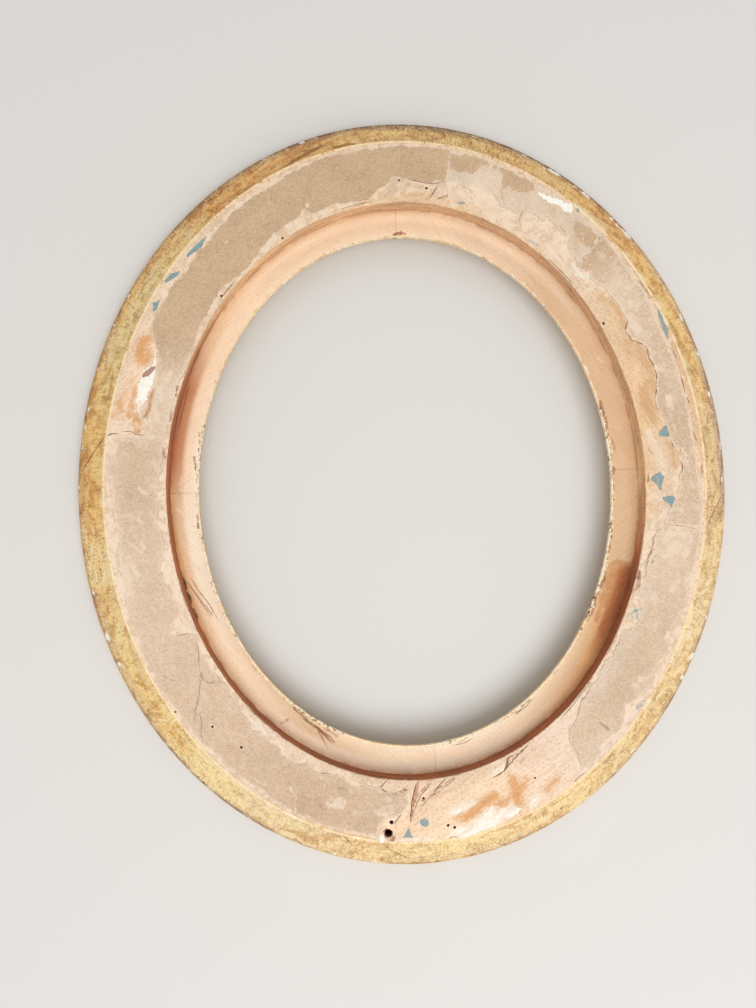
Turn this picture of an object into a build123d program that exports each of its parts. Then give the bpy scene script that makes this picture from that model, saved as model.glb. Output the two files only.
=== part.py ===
from build123d import *
import os
from math import acos, atan2, cos, hypot, pi, radians, sin, sqrt

# An empty oval picture frame, lying on its gilded front with its bare back up.
# Lengths are in millimetres. X is the frame's width, Y its height, Z goes out of the back.
# Z is zero on the face that the front rests on, and X = Y = 0 is the middle of the oval.
# Every contour is an ellipse: its half width is called its reach, and its half height
# is that reach plus one length that is the same all over the frame.

# Driving sizes
rebate_width = 255.0        # oval recess for the glass, side to side
rebate_height = 307.0       # oval recess for the glass, top to bottom
rebate_depth = 10.8         # from the back down to the ledge
ledge_width = 15.0          # ledge that the glass rests on
back_width = 33.0           # flat back, from the recess to the bevel
bevel_width = 20.5          # from the flat back out to the widest rim
frame_depth = 28.0          # flat back to the front fillet

# Moulded front, from the rim inwards
rim_radius = 4.5
fillet_width = 4.5          # flat fillet that the frame lies on
quirk_width = 1.6           # narrow floor between fillet and cove
quirk_depth = 1.8
lip_thickness = 4.4         # from the ledge down to the cove's floor
bead_radius = 3.2
bead_margin = 1.1           # flat between bead and cove
slope_margin = 1.5          # flat between bead and sight slope
slope_width = 8.0           # slope down to the sight edge
sight_edge = 2.6            # thickness of the sight edge
coat_thickness = 0.8        # gesso, bole and gold leaf

# Joinery: a main ring of scarfed segments, with a sight ring let into it from the front
sight_lap = 17.5            # how far the sight ring reaches under the main ring
ledge_skim = 0.5            # the ledge is turned this far below the glued seat
scarf_slope = 1.0           # sideways run of a scarf for each unit of depth
main_joint_top = 26.5       # where each scarf meets the flat back, from the middle lines
main_joint_left = 33.0
main_joint_bottom = -22.0
main_joint_right = -26.0
sight_joint_top = -1.0
sight_joint_left = 2.0
sight_joint_bottom = 10.5
sight_joint_right = 7.5

# Holes in the back
hanger_hole_radius = 2.0
hanger_hole_depth = 12.0
small_hole_radius = 1.1
small_hole_depth = 6.0
brad_hole_radius = 0.8
brad_hole_depth = 4.0

# What is left of the sheets pasted to the back
paper_thickness = 0.25
under_paper_thickness = 0.15
scrap_thickness = 0.12
flake_thickness = 0.18

overrun = 5.0               # how far a cut passes the faces that it cuts
arc_steps = 8               # facets in a small arc of the moulding
cove_steps = 12             # facets in the whole cove

# Reaches and heights that follow
rebate_reach = rebate_width / 2
end_lead = (rebate_height - rebate_width) / 2
sight_reach = rebate_reach - ledge_width
back_reach = rebate_reach + back_width
rim_reach = back_reach + bevel_width
lap_reach = rebate_reach + sight_lap
ledge_z = frame_depth - rebate_depth
seat_z = ledge_z + ledge_skim
fillet_outer = rim_reach - rim_radius
fillet_inner = fillet_outer - fillet_width
cove_outer = fillet_inner - quirk_width
slope_reach = sight_reach + slope_width
bead_reach = slope_reach + slope_margin + bead_radius
cove_inner = bead_reach + bead_radius + bead_margin
cove_width = cove_outer - cove_inner
cove_floor = ledge_z - lip_thickness
cove_depth = cove_floor - quirk_depth
sight_edge_z = ledge_z - sight_edge

# The bevel is tangent to the rim's round
rim_to_back = hypot(back_reach - fillet_outer, frame_depth - rim_radius)
bevel_normal = (atan2(frame_depth - rim_radius, back_reach - fillet_outer)
                - acos(rim_radius / rim_to_back))
bevel_run = coat_thickness / cos(bevel_normal)      # the coat's width at the flat back


def point_on(angle, reach):
    """A place on the ellipse of this reach; the angle is counted from +X towards +Y."""
    turn = radians(angle)
    return (reach * cos(turn), (reach + end_lead) * sin(turn))


def arc(reach, height, radius, start, end, steps):
    """Points of a moulding's round, in reach and height."""
    turns = [start + (end - start) * step / steps for step in range(steps + 1)]
    return [(reach + radius * cos(turn), height + radius * sin(turn)) for turn in turns]


def rim(skin, start, end):
    return arc(fillet_outer, rim_radius, rim_radius - skin, start, end, arc_steps)


def cove(skin, outer, inner):
    """The scoop's points between two reaches; it is a quarter of an ellipse."""
    across = cove_width + skin
    deep = cove_depth + skin
    steps = max(2, round(cove_steps * (outer - inner) / cove_width))
    reaches = [outer + (inner - outer) * step / steps for step in range(steps + 1)]
    return [(reach, quirk_depth + deep * sqrt(max(0, 1 - ((reach - cove_inner) / across) ** 2)))
            for reach in reaches]


def cove_start(skin):
    """The reach at which the scoop rises from the quirk's floor."""
    return cove_inner + (cove_width + skin) * sqrt(1 - (skin / (cove_depth + skin)) ** 2)


def fillet_and_quirk(skin):
    return [(fillet_inner + skin, skin), (fillet_inner + skin, quirk_depth + skin)]


def sight_moulding(skin):
    """Bead, slope and sight edge, from the cove's end inwards."""
    floor = cove_floor + skin
    bead = arc(bead_reach, cove_floor, bead_radius - skin, 0, -pi, arc_steps)
    if skin:
        bead = [(bead[0][0], floor)] + bead + [(bead[-1][0], floor)]
    slope_rise = (sight_edge_z - cove_floor) / slope_width
    return bead + [(slope_reach, floor),
                   (sight_reach + skin, sight_edge_z + skin - slope_rise * skin),
                   (sight_reach + skin, ledge_z)]


def contour(reach, height):
    """The oval edge of one corner line of a section."""
    return Pos(0, 0, height) * Edge.make_ellipse(reach, reach + end_lead)


def turned_ring(section):
    """A ring whose section is this closed list of (reach, height), as an oval lathe leaves it."""
    faces = []
    for here, there in zip(section, section[1:] + section[:1]):
        if here[1] == there[1]:
            outer, inner = sorted((here, there), reverse=True)
            faces.append(Face(Wire([contour(*outer)]), [Wire([contour(*inner)])]))
        else:
            faces.append(Face.make_surface_from_curves(contour(*here), contour(*there)))
    return Solid(Shell(faces))


def joint_plane(side, offset, slope):
    """The plane of a joint near one end of an axis; depth carries a scarf round the oval."""
    planes = {
        "top": Plane((offset, 0, frame_depth), x_dir=(0, 1, 0), z_dir=(1, 0, -slope)),
        "left": Plane((0, offset, frame_depth), x_dir=(1, 0, 0), z_dir=(0, 1, -slope)),
        "bottom": Plane((offset, 0, frame_depth), x_dir=(0, 1, 0), z_dir=(1, 0, slope)),
        "right": Plane((0, offset, frame_depth), x_dir=(1, 0, 0), z_dir=(0, 1, slope)),
    }
    return planes[side]


def quarters(ring, offsets, slope):
    """The ring's four segments, each between the joints at two neighbouring axes' ends."""
    sides = {
        "upper_left": (("top", Keep.BOTTOM), ("left", Keep.TOP)),
        "lower_left": (("left", Keep.BOTTOM), ("bottom", Keep.BOTTOM)),
        "lower_right": (("bottom", Keep.TOP), ("right", Keep.BOTTOM)),
        "upper_right": (("right", Keep.TOP), ("top", Keep.TOP)),
    }
    pieces = {}
    for place, cuts in sides.items():
        piece = ring
        for side, keep in cuts:
            piece = split(piece, joint_plane(side, offsets[side], slope), keep=keep)
        pieces[place] = piece
    return pieces


def back_reach_at(share):
    """The reach at a share of the flat back, from the recess (0) to the bevel (1)."""
    return rebate_reach + share * back_width


def outline(place_shares):
    return [point_on(angle, back_reach_at(share)) for angle, share in place_shares]


def sheet(place_shares, thickness, base):
    """A thin flat piece on the back, from its outline in angles and shares of the width."""
    return Pos(0, 0, base) * extrude(make_face(Polyline(outline(place_shares), close=True)), thickness)


def drilled(place_share, radius, depth):
    """A round hole into the back, to be taken away."""
    middle = point_on(place_share[0], back_reach_at(place_share[1]))
    return Pos(*middle, frame_depth - depth) * Cylinder(
        radius, depth + overrun, align=(Align.CENTER, Align.CENTER, Align.MIN))


# Torn edges of the backing paper. Each entry is (angle in degrees, share of the flat back).
# The inner edge runs with the angle, and the outer edge runs back against it.
paper_lower_right_share = [
    (303.5, .88), (304.3, .78), (304.8, .67), (305.2, .52), (305.5, .42), (306.5, .30), (308, .25),
    (309.7, .21), (311, .16), (312.5, .11), (315, .09), (318, .08), (322, .06), (324, .09),
    (329.5, .08), (330.4, .17), (332, .23), (333.5, .26), (334.8, .23), (335.8, .18), (337, .13),
    (338.6, .10), (341.5, .15), (343.5, .12), (345, .13), (347, .20), (349, .18), (350, .27),
    (350.8, .25), (351.6, .29),
    (351.4, .60), (351.7, .93), (345.5, .92), (343.7, .87), (342, .83), (340.5, .90), (338, .86),
    (335, .83), (332, .80), (330, .88), (328.5, .86), (326.7, .80), (325, .84), (323.5, .90),
    (321, .83), (319.3, .78), (317.8, .72), (316.3, .78), (314.5, .85), (312, .82), (310, .82),
    (308, .87), (305.5, .90)]
paper_upper_right_share = [
    (352.2, .30), (353, .33), (354.5, .39), (356, .48), (357.8, .53), (359, .57), (360.4, .55),
    (361.5, .60), (364.5, .65), (365.8, .60), (366.2, .50), (368, .46), (371, .44), (373.3, .37),
    (375.3, .35), (377, .42), (379.3, .50), (381.5, .51), (385, .52), (386.3, .45), (387.7, .35),
    (389.6, .33), (391, .43), (393.5, .45), (396, .41), (399, .39), (401, .33), (402.4, .30),
    (403.1, .37), (404, .32), (405, .26), (405.9, .28),
    (406.2, .60), (406.7, .92), (402, .91), (395, .91), (390.5, .90), (387.5, .86), (380, .85),
    (372, .86), (367, .84), (362, .86), (359, .89), (356, .92), (352.6, .93)]
under_paper_share = [
    (46.1, .29), (48, .37), (49.4, .36), (50.6, .47), (51.4, .53), (52.4, .55), (53.6, .50),
    (55.2, .52), (56.6, .56), (57.6, .46), (59.4, .49), (60.4, .40), (61.2, .23), (61.8, .21),
    (62.5, .30), (64.5, .36), (65.6, .31), (66.8, .33), (68, .43), (69.5, .41), (71.5, .47),
    (73, .49), (74.3, .42), (75.3, .37), (77, .44), (78.2, .44), (79.1, .41),
    (79.2, .70), (79.3, .92), (70, .92), (60, .93), (53, .93), (48.6, .91), (46.9, .92), (46.4, .60)]
top_patches_share = [
    [(61.7, .78), (63, .66), (64.8, .62), (66.6, .66), (67.4, .60), (68.1, .70), (68.6, .80),
     (70.5, .82), (73, .78), (74.5, .66), (76, .61), (78.9, .62), (79.1, .90), (72, .90),
     (66, .91), (62.2, .90)],
    [(47.3, .62), (49.4, .55), (51.3, .62), (51.6, .78), (50, .86), (47.4, .90)]]
paper_upper_left_share = [
    (79.7, .40), (82, .36), (83.6, .33), (86, .35), (88, .39), (89.3, .41), (91, .42), (92, .34),
    (94, .25), (95.8, .18), (97.3, .11), (101, .12), (105, .15), (108, .16), (110.4, .14),
    (111.2, .21), (113, .21), (116, .18), (119.5, .17), (122, .15), (124, .12), (126, .08),
    (128, .05), (131, .05), (133.5, .08), (135.5, .14), (140, .14), (142.5, .10), (145.4, .11),
    (147, .05), (156.5, .04), (158, .08), (161, .05), (165, .07), (168.2, .04),
    (168.3, .36), (167.4, .34), (166, .38), (164, .38), (162, .36), (160, .39), (158, .43),
    (156, .47), (154.4, .52), (152.6, .58), (151.6, .66), (150.6, .75), (149, .80), (145, .80),
    (141, .79), (139.6, .74), (138.4, .73), (136.8, .77), (134, .79), (131.8, .77), (128, .82),
    (124, .84), (119, .85), (116, .83), (112, .86), (108, .89), (104, .91), (98, .90), (90, .91),
    (84, .91), (80, .92)]
paper_lower_left_share = [
    (169.4, .06), (171, .09), (173, .07), (175.5, .09), (178, .17), (180, .14), (183.5, .14),
    (185.3, .19), (186.2, .12), (190, .10), (191.6, .13), (192.4, .22), (194, .25), (197, .21),
    (200, .17), (202.9, .15), (203.6, .24), (204.4, .34), (205.6, .42), (206.4, .37), (206.9, .20),
    (207.4, .12), (210, .09), (212.5, .12), (215, .10), (218.5, .08), (221, .05), (223.7, .05),
    (226, .16), (228, .13), (229.2, .20), (230.2, .23), (232, .16), (234.5, .18), (236.4, .14),
    (238.3, .22), (240.3, .22), (242, .20), (244, .14), (247, .19), (249, .16), (251.2, .10),
    (253.5, .14), (255.3, .19), (259.5, .14), (262, .19), (264.5, .23), (265.6, .18), (267.2, .22),
    (268, .34), (267.5, .45), (266.6, .54), (265, .58), (263, .64), (262.1, .74), (261.8, .90),
    (256, .92), (250, .92), (244.5, .91), (241, .90), (239, .86), (236, .88), (230, .90),
    (227.8, .87), (225, .92), (220.5, .91), (218, .88), (215, .91), (207, .92), (199, .90),
    (196.6, .87), (194, .84), (191.5, .86), (188.5, .81), (186, .78), (184, .81), (182, .84),
    (179, .84), (177, .87), (175.3, .92), (173, .87), (171.4, .77), (170.2, .66), (169.9, .40)]

# Scraps of blue paper and flakes of white paint, each a small outline of its own
blue_scraps_share = [
    [(358.4, .24), (359.2, .16), (360.3, .12), (361.3, .15), (361.6, .25), (360.6, .33), (359.4, .28)],
    [(367.6, .42), (368.4, .31), (369.3, .33), (370.2, .40), (369.2, .43)],
    [(24.6, .89), (27, .88), (29.6, .93), (29.8, .96), (26.4, .95)],
    [(73.9, .15), (75, .11), (76, .13), (75.2, .16)],
    [(130.8, .84), (132.4, .81), (135.6, .87), (135.9, .91), (133, .88)],
    [(139, .85), (140.6, .83), (141.4, .91), (142.2, .95), (139.5, .93)],
    [(144.8, .86), (147.1, .84), (147, .92), (146.1, .94)],
    [(266.9, .90), (268.1, .76), (268.8, .90)],
    [(270.3, .66), (271, .61), (271.8, .66), (271.2, .73), (270.5, .72)],
    [(318.5, .90), (319.6, .88), (320.7, .93), (319.4, .95)],
    [(331.7, .11), (333, .11), (334.4, .17), (333, .21), (332, .17)],
    [(354.4, .35), (355.9, .30), (356.9, .27), (357.2, .36), (356.7, .47), (355.3, .41)]]
paper_flake_share = [
    (53.3, .82), (54.6, .80), (56.6, .80), (59, .76), (60.5, .78), (60.7, .81), (58.8, .84),
    (56.6, .89), (54.4, .94), (53.5, .91)]
wood_flakes_share = [
    [(152.6, .63), (154.2, .57), (155.6, .54), (157, .60), (158.4, .52), (160, .47), (163, .49),
     (165, .51), (165.1, .59), (162.8, .63), (160.4, .66), (157.8, .68), (155.8, .62), (154, .61)],
    [(276.8, .86), (278.6, .78), (281, .74), (283.4, .66), (284.4, .62), (286.2, .72), (287.6, .84),
     (286, .92), (283.6, .97), (279.6, .98), (277.4, .97)],
    [(262.4, .80), (263, .82), (263.2, .98), (262.6, .98)]]

# Holes: where the hanger was screwed on, and where brads and worms have been
hanger_hole_share = (264.0, .85)
small_holes_share = [(264.4, .67), (83.5, .25), (137.4, .07), (33.4, .06)]
brad_holes_share = [(275.7, .76), (276.9, .81), (271.1, .29), (230.7, .53), (224.0, .63),
                    (217.6, .94), (89.7, .36), (118.9, .04), (295.3, .54)]

bevel_end = (back_reach, frame_depth)
bevel_end_wood = (back_reach - bevel_run, frame_depth)

main_section = (
    [(rebate_reach, frame_depth), bevel_end_wood]
    + rim(coat_thickness, bevel_normal, 0)
    + rim(coat_thickness, 0, -pi / 2)[1:]
    + fillet_and_quirk(coat_thickness)
    + cove(coat_thickness, cove_start(coat_thickness), lap_reach)
    + [(lap_reach, seat_z), (rebate_reach, seat_z)])
sight_section = (
    [(rebate_reach, seat_z), (lap_reach, seat_z)]
    + cove(coat_thickness, lap_reach, cove_inner)
    + sight_moulding(coat_thickness)
    + [(rebate_reach, ledge_z)])
side_coat_section = (
    [bevel_end_wood, bevel_end]
    + rim(0, bevel_normal, 0)
    + rim(coat_thickness, 0, bevel_normal))
front_coat_section = (
    rim(0, 0, -pi / 2)
    + fillet_and_quirk(0)
    + cove(0, cove_start(0), cove_inner)
    + sight_moulding(0)
    + sight_moulding(coat_thickness)[::-1]
    + cove(coat_thickness, lap_reach, cove_inner)[:0:-1]
    + cove(coat_thickness, cove_start(coat_thickness), lap_reach)[::-1]
    + fillet_and_quirk(coat_thickness)[::-1]
    + rim(coat_thickness, -pi / 2, 0))

main_joints = {"top": main_joint_top, "left": main_joint_left,
               "bottom": main_joint_bottom, "right": main_joint_right}
sight_joints = {"top": sight_joint_top, "left": sight_joint_left,
                "bottom": sight_joint_bottom, "right": sight_joint_right}

holes = [drilled(hanger_hole_share, hanger_hole_radius, hanger_hole_depth)]
holes += [drilled(place, small_hole_radius, small_hole_depth) for place in small_holes_share]
holes += [drilled(place, brad_hole_radius, brad_hole_depth) for place in brad_holes_share]

nodes = {}
for place, piece in quarters(turned_ring(main_section), main_joints, scarf_slope).items():
    nodes["main_segment_" + place] = piece - holes
for place, piece in quarters(turned_ring(sight_section), sight_joints, 0).items():
    nodes["sight_segment_" + place] = piece
for place, piece in quarters(turned_ring(side_coat_section), main_joints, scarf_slope).items():
    nodes["gilded_side_" + place] = piece
nodes["gilded_front"] = turned_ring(front_coat_section)

nodes["backing_paper_lower_right"] = sheet(paper_lower_right_share, paper_thickness, frame_depth) - holes
nodes["backing_paper_upper_right"] = sheet(paper_upper_right_share, paper_thickness, frame_depth) - holes
nodes["backing_paper_upper_left"] = sheet(paper_upper_left_share, paper_thickness, frame_depth) - holes
nodes["backing_paper_lower_left"] = sheet(paper_lower_left_share, paper_thickness, frame_depth) - holes
nodes["under_paper_upper_right"] = sheet(under_paper_share, under_paper_thickness, frame_depth)
nodes["top_paper_patches"] = Part() + [
    sheet(shares, paper_thickness - under_paper_thickness, frame_depth + under_paper_thickness)
    for shares in top_patches_share]
nodes["blue_paper_scraps"] = Part() + [
    sheet(shares, scrap_thickness, frame_depth) for shares in blue_scraps_share]
nodes["white_paint_flakes"] = Part() + [
    sheet(shares, flake_thickness, frame_depth) for shares in wood_flakes_share] + sheet(
        paper_flake_share, paper_thickness - under_paper_thickness, frame_depth + under_paper_thickness)

os.makedirs("parts", exist_ok=True)
for name, node in nodes.items():
    export_step(node, "parts/" + name + ".step")
    print(name, len(node.solids()), round(node.volume), node.is_valid)
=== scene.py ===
import math

import bmesh
import bpy
import numpy as np
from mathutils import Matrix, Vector
from mathutils.geometry import delaunay_2d_cdt


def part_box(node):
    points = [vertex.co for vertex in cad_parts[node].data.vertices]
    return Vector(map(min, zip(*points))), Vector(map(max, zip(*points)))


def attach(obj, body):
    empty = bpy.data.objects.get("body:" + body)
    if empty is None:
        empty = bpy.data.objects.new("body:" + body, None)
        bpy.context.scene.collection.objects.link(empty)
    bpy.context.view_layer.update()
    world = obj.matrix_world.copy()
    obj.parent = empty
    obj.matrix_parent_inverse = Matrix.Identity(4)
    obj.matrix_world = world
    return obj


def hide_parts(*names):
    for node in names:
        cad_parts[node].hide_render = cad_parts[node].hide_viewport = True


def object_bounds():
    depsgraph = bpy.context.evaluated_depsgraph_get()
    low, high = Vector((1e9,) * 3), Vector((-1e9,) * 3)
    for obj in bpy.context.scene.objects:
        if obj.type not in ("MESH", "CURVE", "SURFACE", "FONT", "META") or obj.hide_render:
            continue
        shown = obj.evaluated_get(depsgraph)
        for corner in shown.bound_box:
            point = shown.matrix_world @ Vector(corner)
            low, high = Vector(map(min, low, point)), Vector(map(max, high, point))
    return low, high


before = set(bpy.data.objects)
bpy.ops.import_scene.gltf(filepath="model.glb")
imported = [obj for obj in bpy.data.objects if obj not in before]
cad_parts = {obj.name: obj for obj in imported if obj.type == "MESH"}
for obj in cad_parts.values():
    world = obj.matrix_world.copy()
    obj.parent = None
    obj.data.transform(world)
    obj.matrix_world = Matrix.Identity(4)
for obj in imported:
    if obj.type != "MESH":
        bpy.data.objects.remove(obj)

# An old oval picture frame that lies on its gilded front and shows its bare back.
# The dictionaries give the pieces' lengths in millimetres and angles in degrees. Every contour of the frame
# is an ellipse: its half width is called its reach, and its half height is that reach plus the lead.
# Numbers written as text are read by rows and marks, which stand below.
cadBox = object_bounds()
mm = 0.001
rimReach = cadBox[1].x / mm
lead = cadBox[1].y / mm - rimReach

ovalSizes = {
    "depth": 28.0,            # flat back to the floor
    "rebate": 127.5,          # reach of the recess for the glass
    "sight": 112.5,           # reach of the opening
    "back": 160.5,            # reach where the flat back ends and the bevel starts
    "lap": 145.0,             # reach of the sight ring under the main ring
    "ledgeZ": 17.2,
    "seatZ": 17.7,
    "rimRadius": 4.5,
    "filletWidth": 4.5,
    "quirkWidth": 1.6,
    "quirkDepth": 1.8,
    "scoopFloor": 12.8,
    "slopeWidth": 8.0,
    "beadRadius": 3.2,
    "beadMargin": 1.1,
    "slopeMargin": 1.5,
    "sightEdgeZ": 14.6,
    "coat": 0.8,              # gesso and gold
    "jointGap": 0.12,
}
(depth, rebate, sight, back, lap, ledgeZ, seatZ, rimRadius, filletWidth, quirkWidth, quirkDepth, scoopFloor,
 slopeWidth, beadRadius, beadMargin, slopeMargin, sightEdgeZ, coat, jointGap) = ovalSizes.values()
filletOuter = rimReach - rimRadius
bevelNormal = (math.atan2(depth - rimRadius, back - filletOuter)
               - math.acos(rimRadius / math.hypot(back - filletOuter, depth - rimRadius)))
bevelRun = coat / math.cos(bevelNormal)
bevelSlant = (rimReach - back) / math.cos(math.pi / 2 - bevelNormal)

palette = {                   # how each finish looks in plain light, as red, green and blue to 255
    "paperTan": (211, 181, 147),
    "paperFawn": (220, 191, 162),
    "paperPale": (232, 204, 178),
    "paperGrey": (232, 212, 192),
    "paperDeep": (199, 169, 138),
    "plyCream": (226, 208, 184),
    "scuff": (238, 216, 192),
    "crease": (158, 132, 108),
    "woodPink": (243, 218, 197),
    "woodDull": (232, 206, 178),
    "woodCream": (248, 224, 198),
    "woodPeach": (252, 222, 190),
    "woodTan": (238, 203, 162),
    "woodOrange": (226, 176, 122),
    "woodRed": (184, 116, 78),
    "woodBeige": (228, 196, 160),
    "wallTan": (212, 172, 134),
    "ledgeTan": (226, 190, 152),
    "ledgePeach": (241, 209, 177),
    "ledgeOrange": (240, 182, 120),
    "ledgeRed": (206, 146, 104),
    "stainBrown": (188, 116, 66),
    "residue": (244, 222, 196),
    "peachStain": (238, 195, 160),
    "tanStain": (214, 172, 128),
    "amber": (224, 166, 108),
    "amberDark": (198, 132, 80),
    "pinkBrown": (176, 128, 104),
    "grime": (120, 92, 68),
    "rust": (158, 96, 60),
    "umber": (112, 70, 42),
    "soot": (60, 36, 24),
    "dust": (205, 184, 160),
    "chalk": (250, 244, 232),
    "white": (254, 250, 240),
    "gesso": (250, 228, 192),
    "cream": (252, 236, 210),
    "goldDeep": (250, 187, 92),
    "goldOchre": (244, 190, 102),
    "goldWarm": (254, 206, 120),
    "goldPale": (255, 226, 162),
    "goldTan": (244, 212, 160),
    "goldBright": (255, 242, 198),
    "goldShade": (200, 150, 84),
    "goldBrown": (208, 150, 80),
    "goldUmber": (146, 98, 50),
    "dustyGold": (210, 174, 146),
    "goldCream": (252, 228, 188),
    "fleckGold": (252, 230, 168),
    "rubbed": (142, 90, 42),
    "rimBrown": (116, 80, 50),
    "rimPink": (172, 150, 136),
    "bole": (150, 66, 38),
    "oldGold": (254, 210, 128),
    "slateBlue": (140, 166, 172),
    "greyBlue": (154, 172, 172),
}


def linear(name):
    share = np.array(palette[name]) / 255
    return np.where(share <= 0.04045, share / 12.92, ((share + 0.055) / 1.055) ** 2.4)


def rows(text):
    # Commas part the rows, and spaces the numbers in a row
    return [tuple(float(number) for number in row.split()) for row in text.split(",")]


def marks(*texts):
    # A mark's first row has its colour, if it has one, and its own numbers. The other rows are its path.
    result = []
    for text in texts:
        head, path = text.split(",", 1)
        words = head.split()
        colour = [words.pop(0)] if words[0].isalpha() else []
        result.append((*colour, *map(float, words), rows(path)))
    return result


def smooth(value, low, high):
    t = np.clip((value - low) / (high - low), 0, 1)
    return t * t * (3 - 2 * t)


def valueNoise(points, cell, seed):
    table = np.random.default_rng(seed).random(4096)
    scaled = points / cell
    base = np.floor(scaled).astype(np.int64)
    share = scaled - base
    share = share * share * (3 - 2 * share)
    total = np.zeros(len(points))
    for corner in range(8):
        step = np.array([corner & 1, corner >> 1 & 1, corner >> 2 & 1])
        spot = base + step
        mixed = spot[:, 0] * 73856093 ^ spot[:, 1] * 19349663 ^ spot[:, 2] * 83492791
        mixed = (mixed ^ mixed >> 13) & 4095
        total += table[mixed] * np.prod(np.where(step == 1, share, 1 - share), axis=1)
    return total * 2 - 1


def fractal(points, cell, seed, octaves=4):
    total, weight, sumOfWeights = np.zeros(len(points)), 1.0, 0.0
    for octave in range(octaves):
        total += valueNoise(points, cell / 2 ** octave, seed + octave) * weight
        sumOfWeights += weight
        weight *= 0.55
    return total / sumOfWeights * 1.6


# Places on the oval. "Across" runs over the profile: -2 at the sight edge, -1 in the ledge's corner,
# 0 at the recess's edge, 1 where the flat back ends and 2 at the widest rim.
acrossStops = [-2, -1, 0, 1, 2, 3]
flatStops = [rebate - (depth - ledgeZ) - (rebate - sight), rebate - (depth - ledgeZ), rebate, back,
             back + bevelSlant, back + 2 * bevelSlant]


def flatPlace(angle, across):
    reach = np.interp(across, acrossStops, flatStops)
    turn = np.radians(angle)
    return np.stack([reach * np.cos(turn), (reach + lead) * np.sin(turn)], axis=-1)


def ovalPlace(points):
    x, y = points[:, 0], points[:, 1]
    reach = np.hypot(x, y * 0.85)    # a rough start that Newton's steps make exact
    for _ in range(9):
        value = (x / reach) ** 2 + (y / (reach + lead)) ** 2 - 1
        slope = -2 * (x ** 2 / reach ** 3 + y ** 2 / (reach + lead) ** 3)
        reach = reach - value / slope
    return np.degrees(np.arctan2(y / (reach + lead), x / reach)) % 360, reach


def acrossOf(reach, height):
    onBack = (reach - rebate) / (back - rebate)
    onBevel = 1 + (reach - back) / (rimReach - back)
    underRim = 2 + (rimRadius - height) / bevelSlant
    onWall = (height - depth) / (depth - ledgeZ)
    onLedge = -1 - (rebate - reach) / (rebate - sight)
    outside = np.where((height < rimRadius) & (reach > filletOuter), underRim, onBevel)
    inside = np.where(height > ledgeZ + 0.6, onWall, onLedge)
    across = np.where(reach > rebate + 0.05, onBack, inside)
    return np.where(reach > back, outside, across)


def roundOff(reach, height, radius, start, end, steps):
    turns = np.linspace(start, end, steps + 1)
    return [(reach + radius * math.cos(turn), height + radius * math.sin(turn)) for turn in turns]


def spaced(points, gap):
    # The same run of points with more of them, none further apart than the gap.
    result = [points[0]]
    for here, there in zip(points, points[1:]):
        count = max(1, math.ceil(math.dist(here, there) / gap))
        result += [tuple(np.array(here) + (np.array(there) - np.array(here)) * (k + 1) / count)
                   for k in range(count)]
    return result


filletInner = filletOuter - filletWidth
scoopOuter = filletInner - quirkWidth
slopeReach = sight + slopeWidth
beadReach = slopeReach + slopeMargin + beadRadius
scoopInner = beadReach + beadRadius + beadMargin
scoopDepth = scoopFloor - quirkDepth


def scoopHeight(reach, skin):
    share = (reach - scoopInner) / (scoopOuter - scoopInner + skin)
    return quirkDepth + (scoopDepth + skin) * math.sqrt(max(0, 1 - share * share))


def scoopStart(skin):
    return scoopInner + (scoopOuter - scoopInner + skin) * math.sqrt(1 - (skin / (scoopDepth + skin)) ** 2)


def scoop(skin, outer, inner, steps):
    return [(reach, scoopHeight(reach, skin)) for reach in np.linspace(outer, inner, steps + 1)]


def sightMoulding(skin, steps=8):
    floor = scoopFloor + skin
    bead = roundOff(beadReach, scoopFloor, beadRadius - skin, 0, -math.pi, steps)
    if skin:
        bead = [(bead[0][0], floor)] + bead + [(bead[-1][0], floor)]
    rise = (sightEdgeZ - scoopFloor) / slopeWidth
    return bead + [(slopeReach, floor), (sight + skin, sightEdgeZ + skin - rise * skin),
                   (sight + skin, ledgeZ)]


# Meshes
def meshObject(name, vertices, faces, material=None):
    mesh = bpy.data.meshes.new(name)
    mesh.from_pydata([tuple(v) for v in vertices], [], [tuple(f) for f in faces])
    mesh.update()
    piece = bpy.data.objects.new(name, mesh)
    bpy.context.collection.objects.link(piece)
    if material:
        mesh.materials.append(material)
    return piece


def readPoints(mesh):
    points = np.empty(len(mesh.vertices) * 3)
    mesh.vertices.foreach_get("co", points)
    return points.reshape(-1, 3) / mm


def readNormals(mesh):
    normals = np.empty(len(mesh.vertices) * 3, dtype=np.float32)
    mesh.vertex_normals.foreach_get("vector", normals)
    return normals.reshape(-1, 3).astype(float)


def writePoints(mesh, points):
    mesh.vertices.foreach_set("co", (points * mm).ravel())
    mesh.update()


def keep(mesh, name, values):
    # Stores a colour, vector or number for each vertex, for the materials to read.
    values = np.asarray(values, dtype=np.float32)
    if values.ndim == 1:
        mesh.attributes.new(name, "FLOAT", "POINT").data.foreach_set("value", values)
    elif name in ("tint", "patch"):
        colours = np.concatenate([np.clip(values, 0, 1), np.ones((len(values), 1), np.float32)], axis=1)
        mesh.attributes.new(name, "FLOAT_COLOR", "POINT").data.foreach_set("color", colours.ravel())
    else:
        mesh.attributes.new(name, "FLOAT_VECTOR", "POINT").data.foreach_set("vector", values.ravel())


def applied(piece):
    # The evaluated mesh takes the place of the one with live modifiers.
    graph = bpy.context.evaluated_depsgraph_get()
    mesh = bpy.data.meshes.new_from_object(piece.evaluated_get(graph))
    piece.modifiers.clear()
    piece.data = mesh
    return mesh


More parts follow.
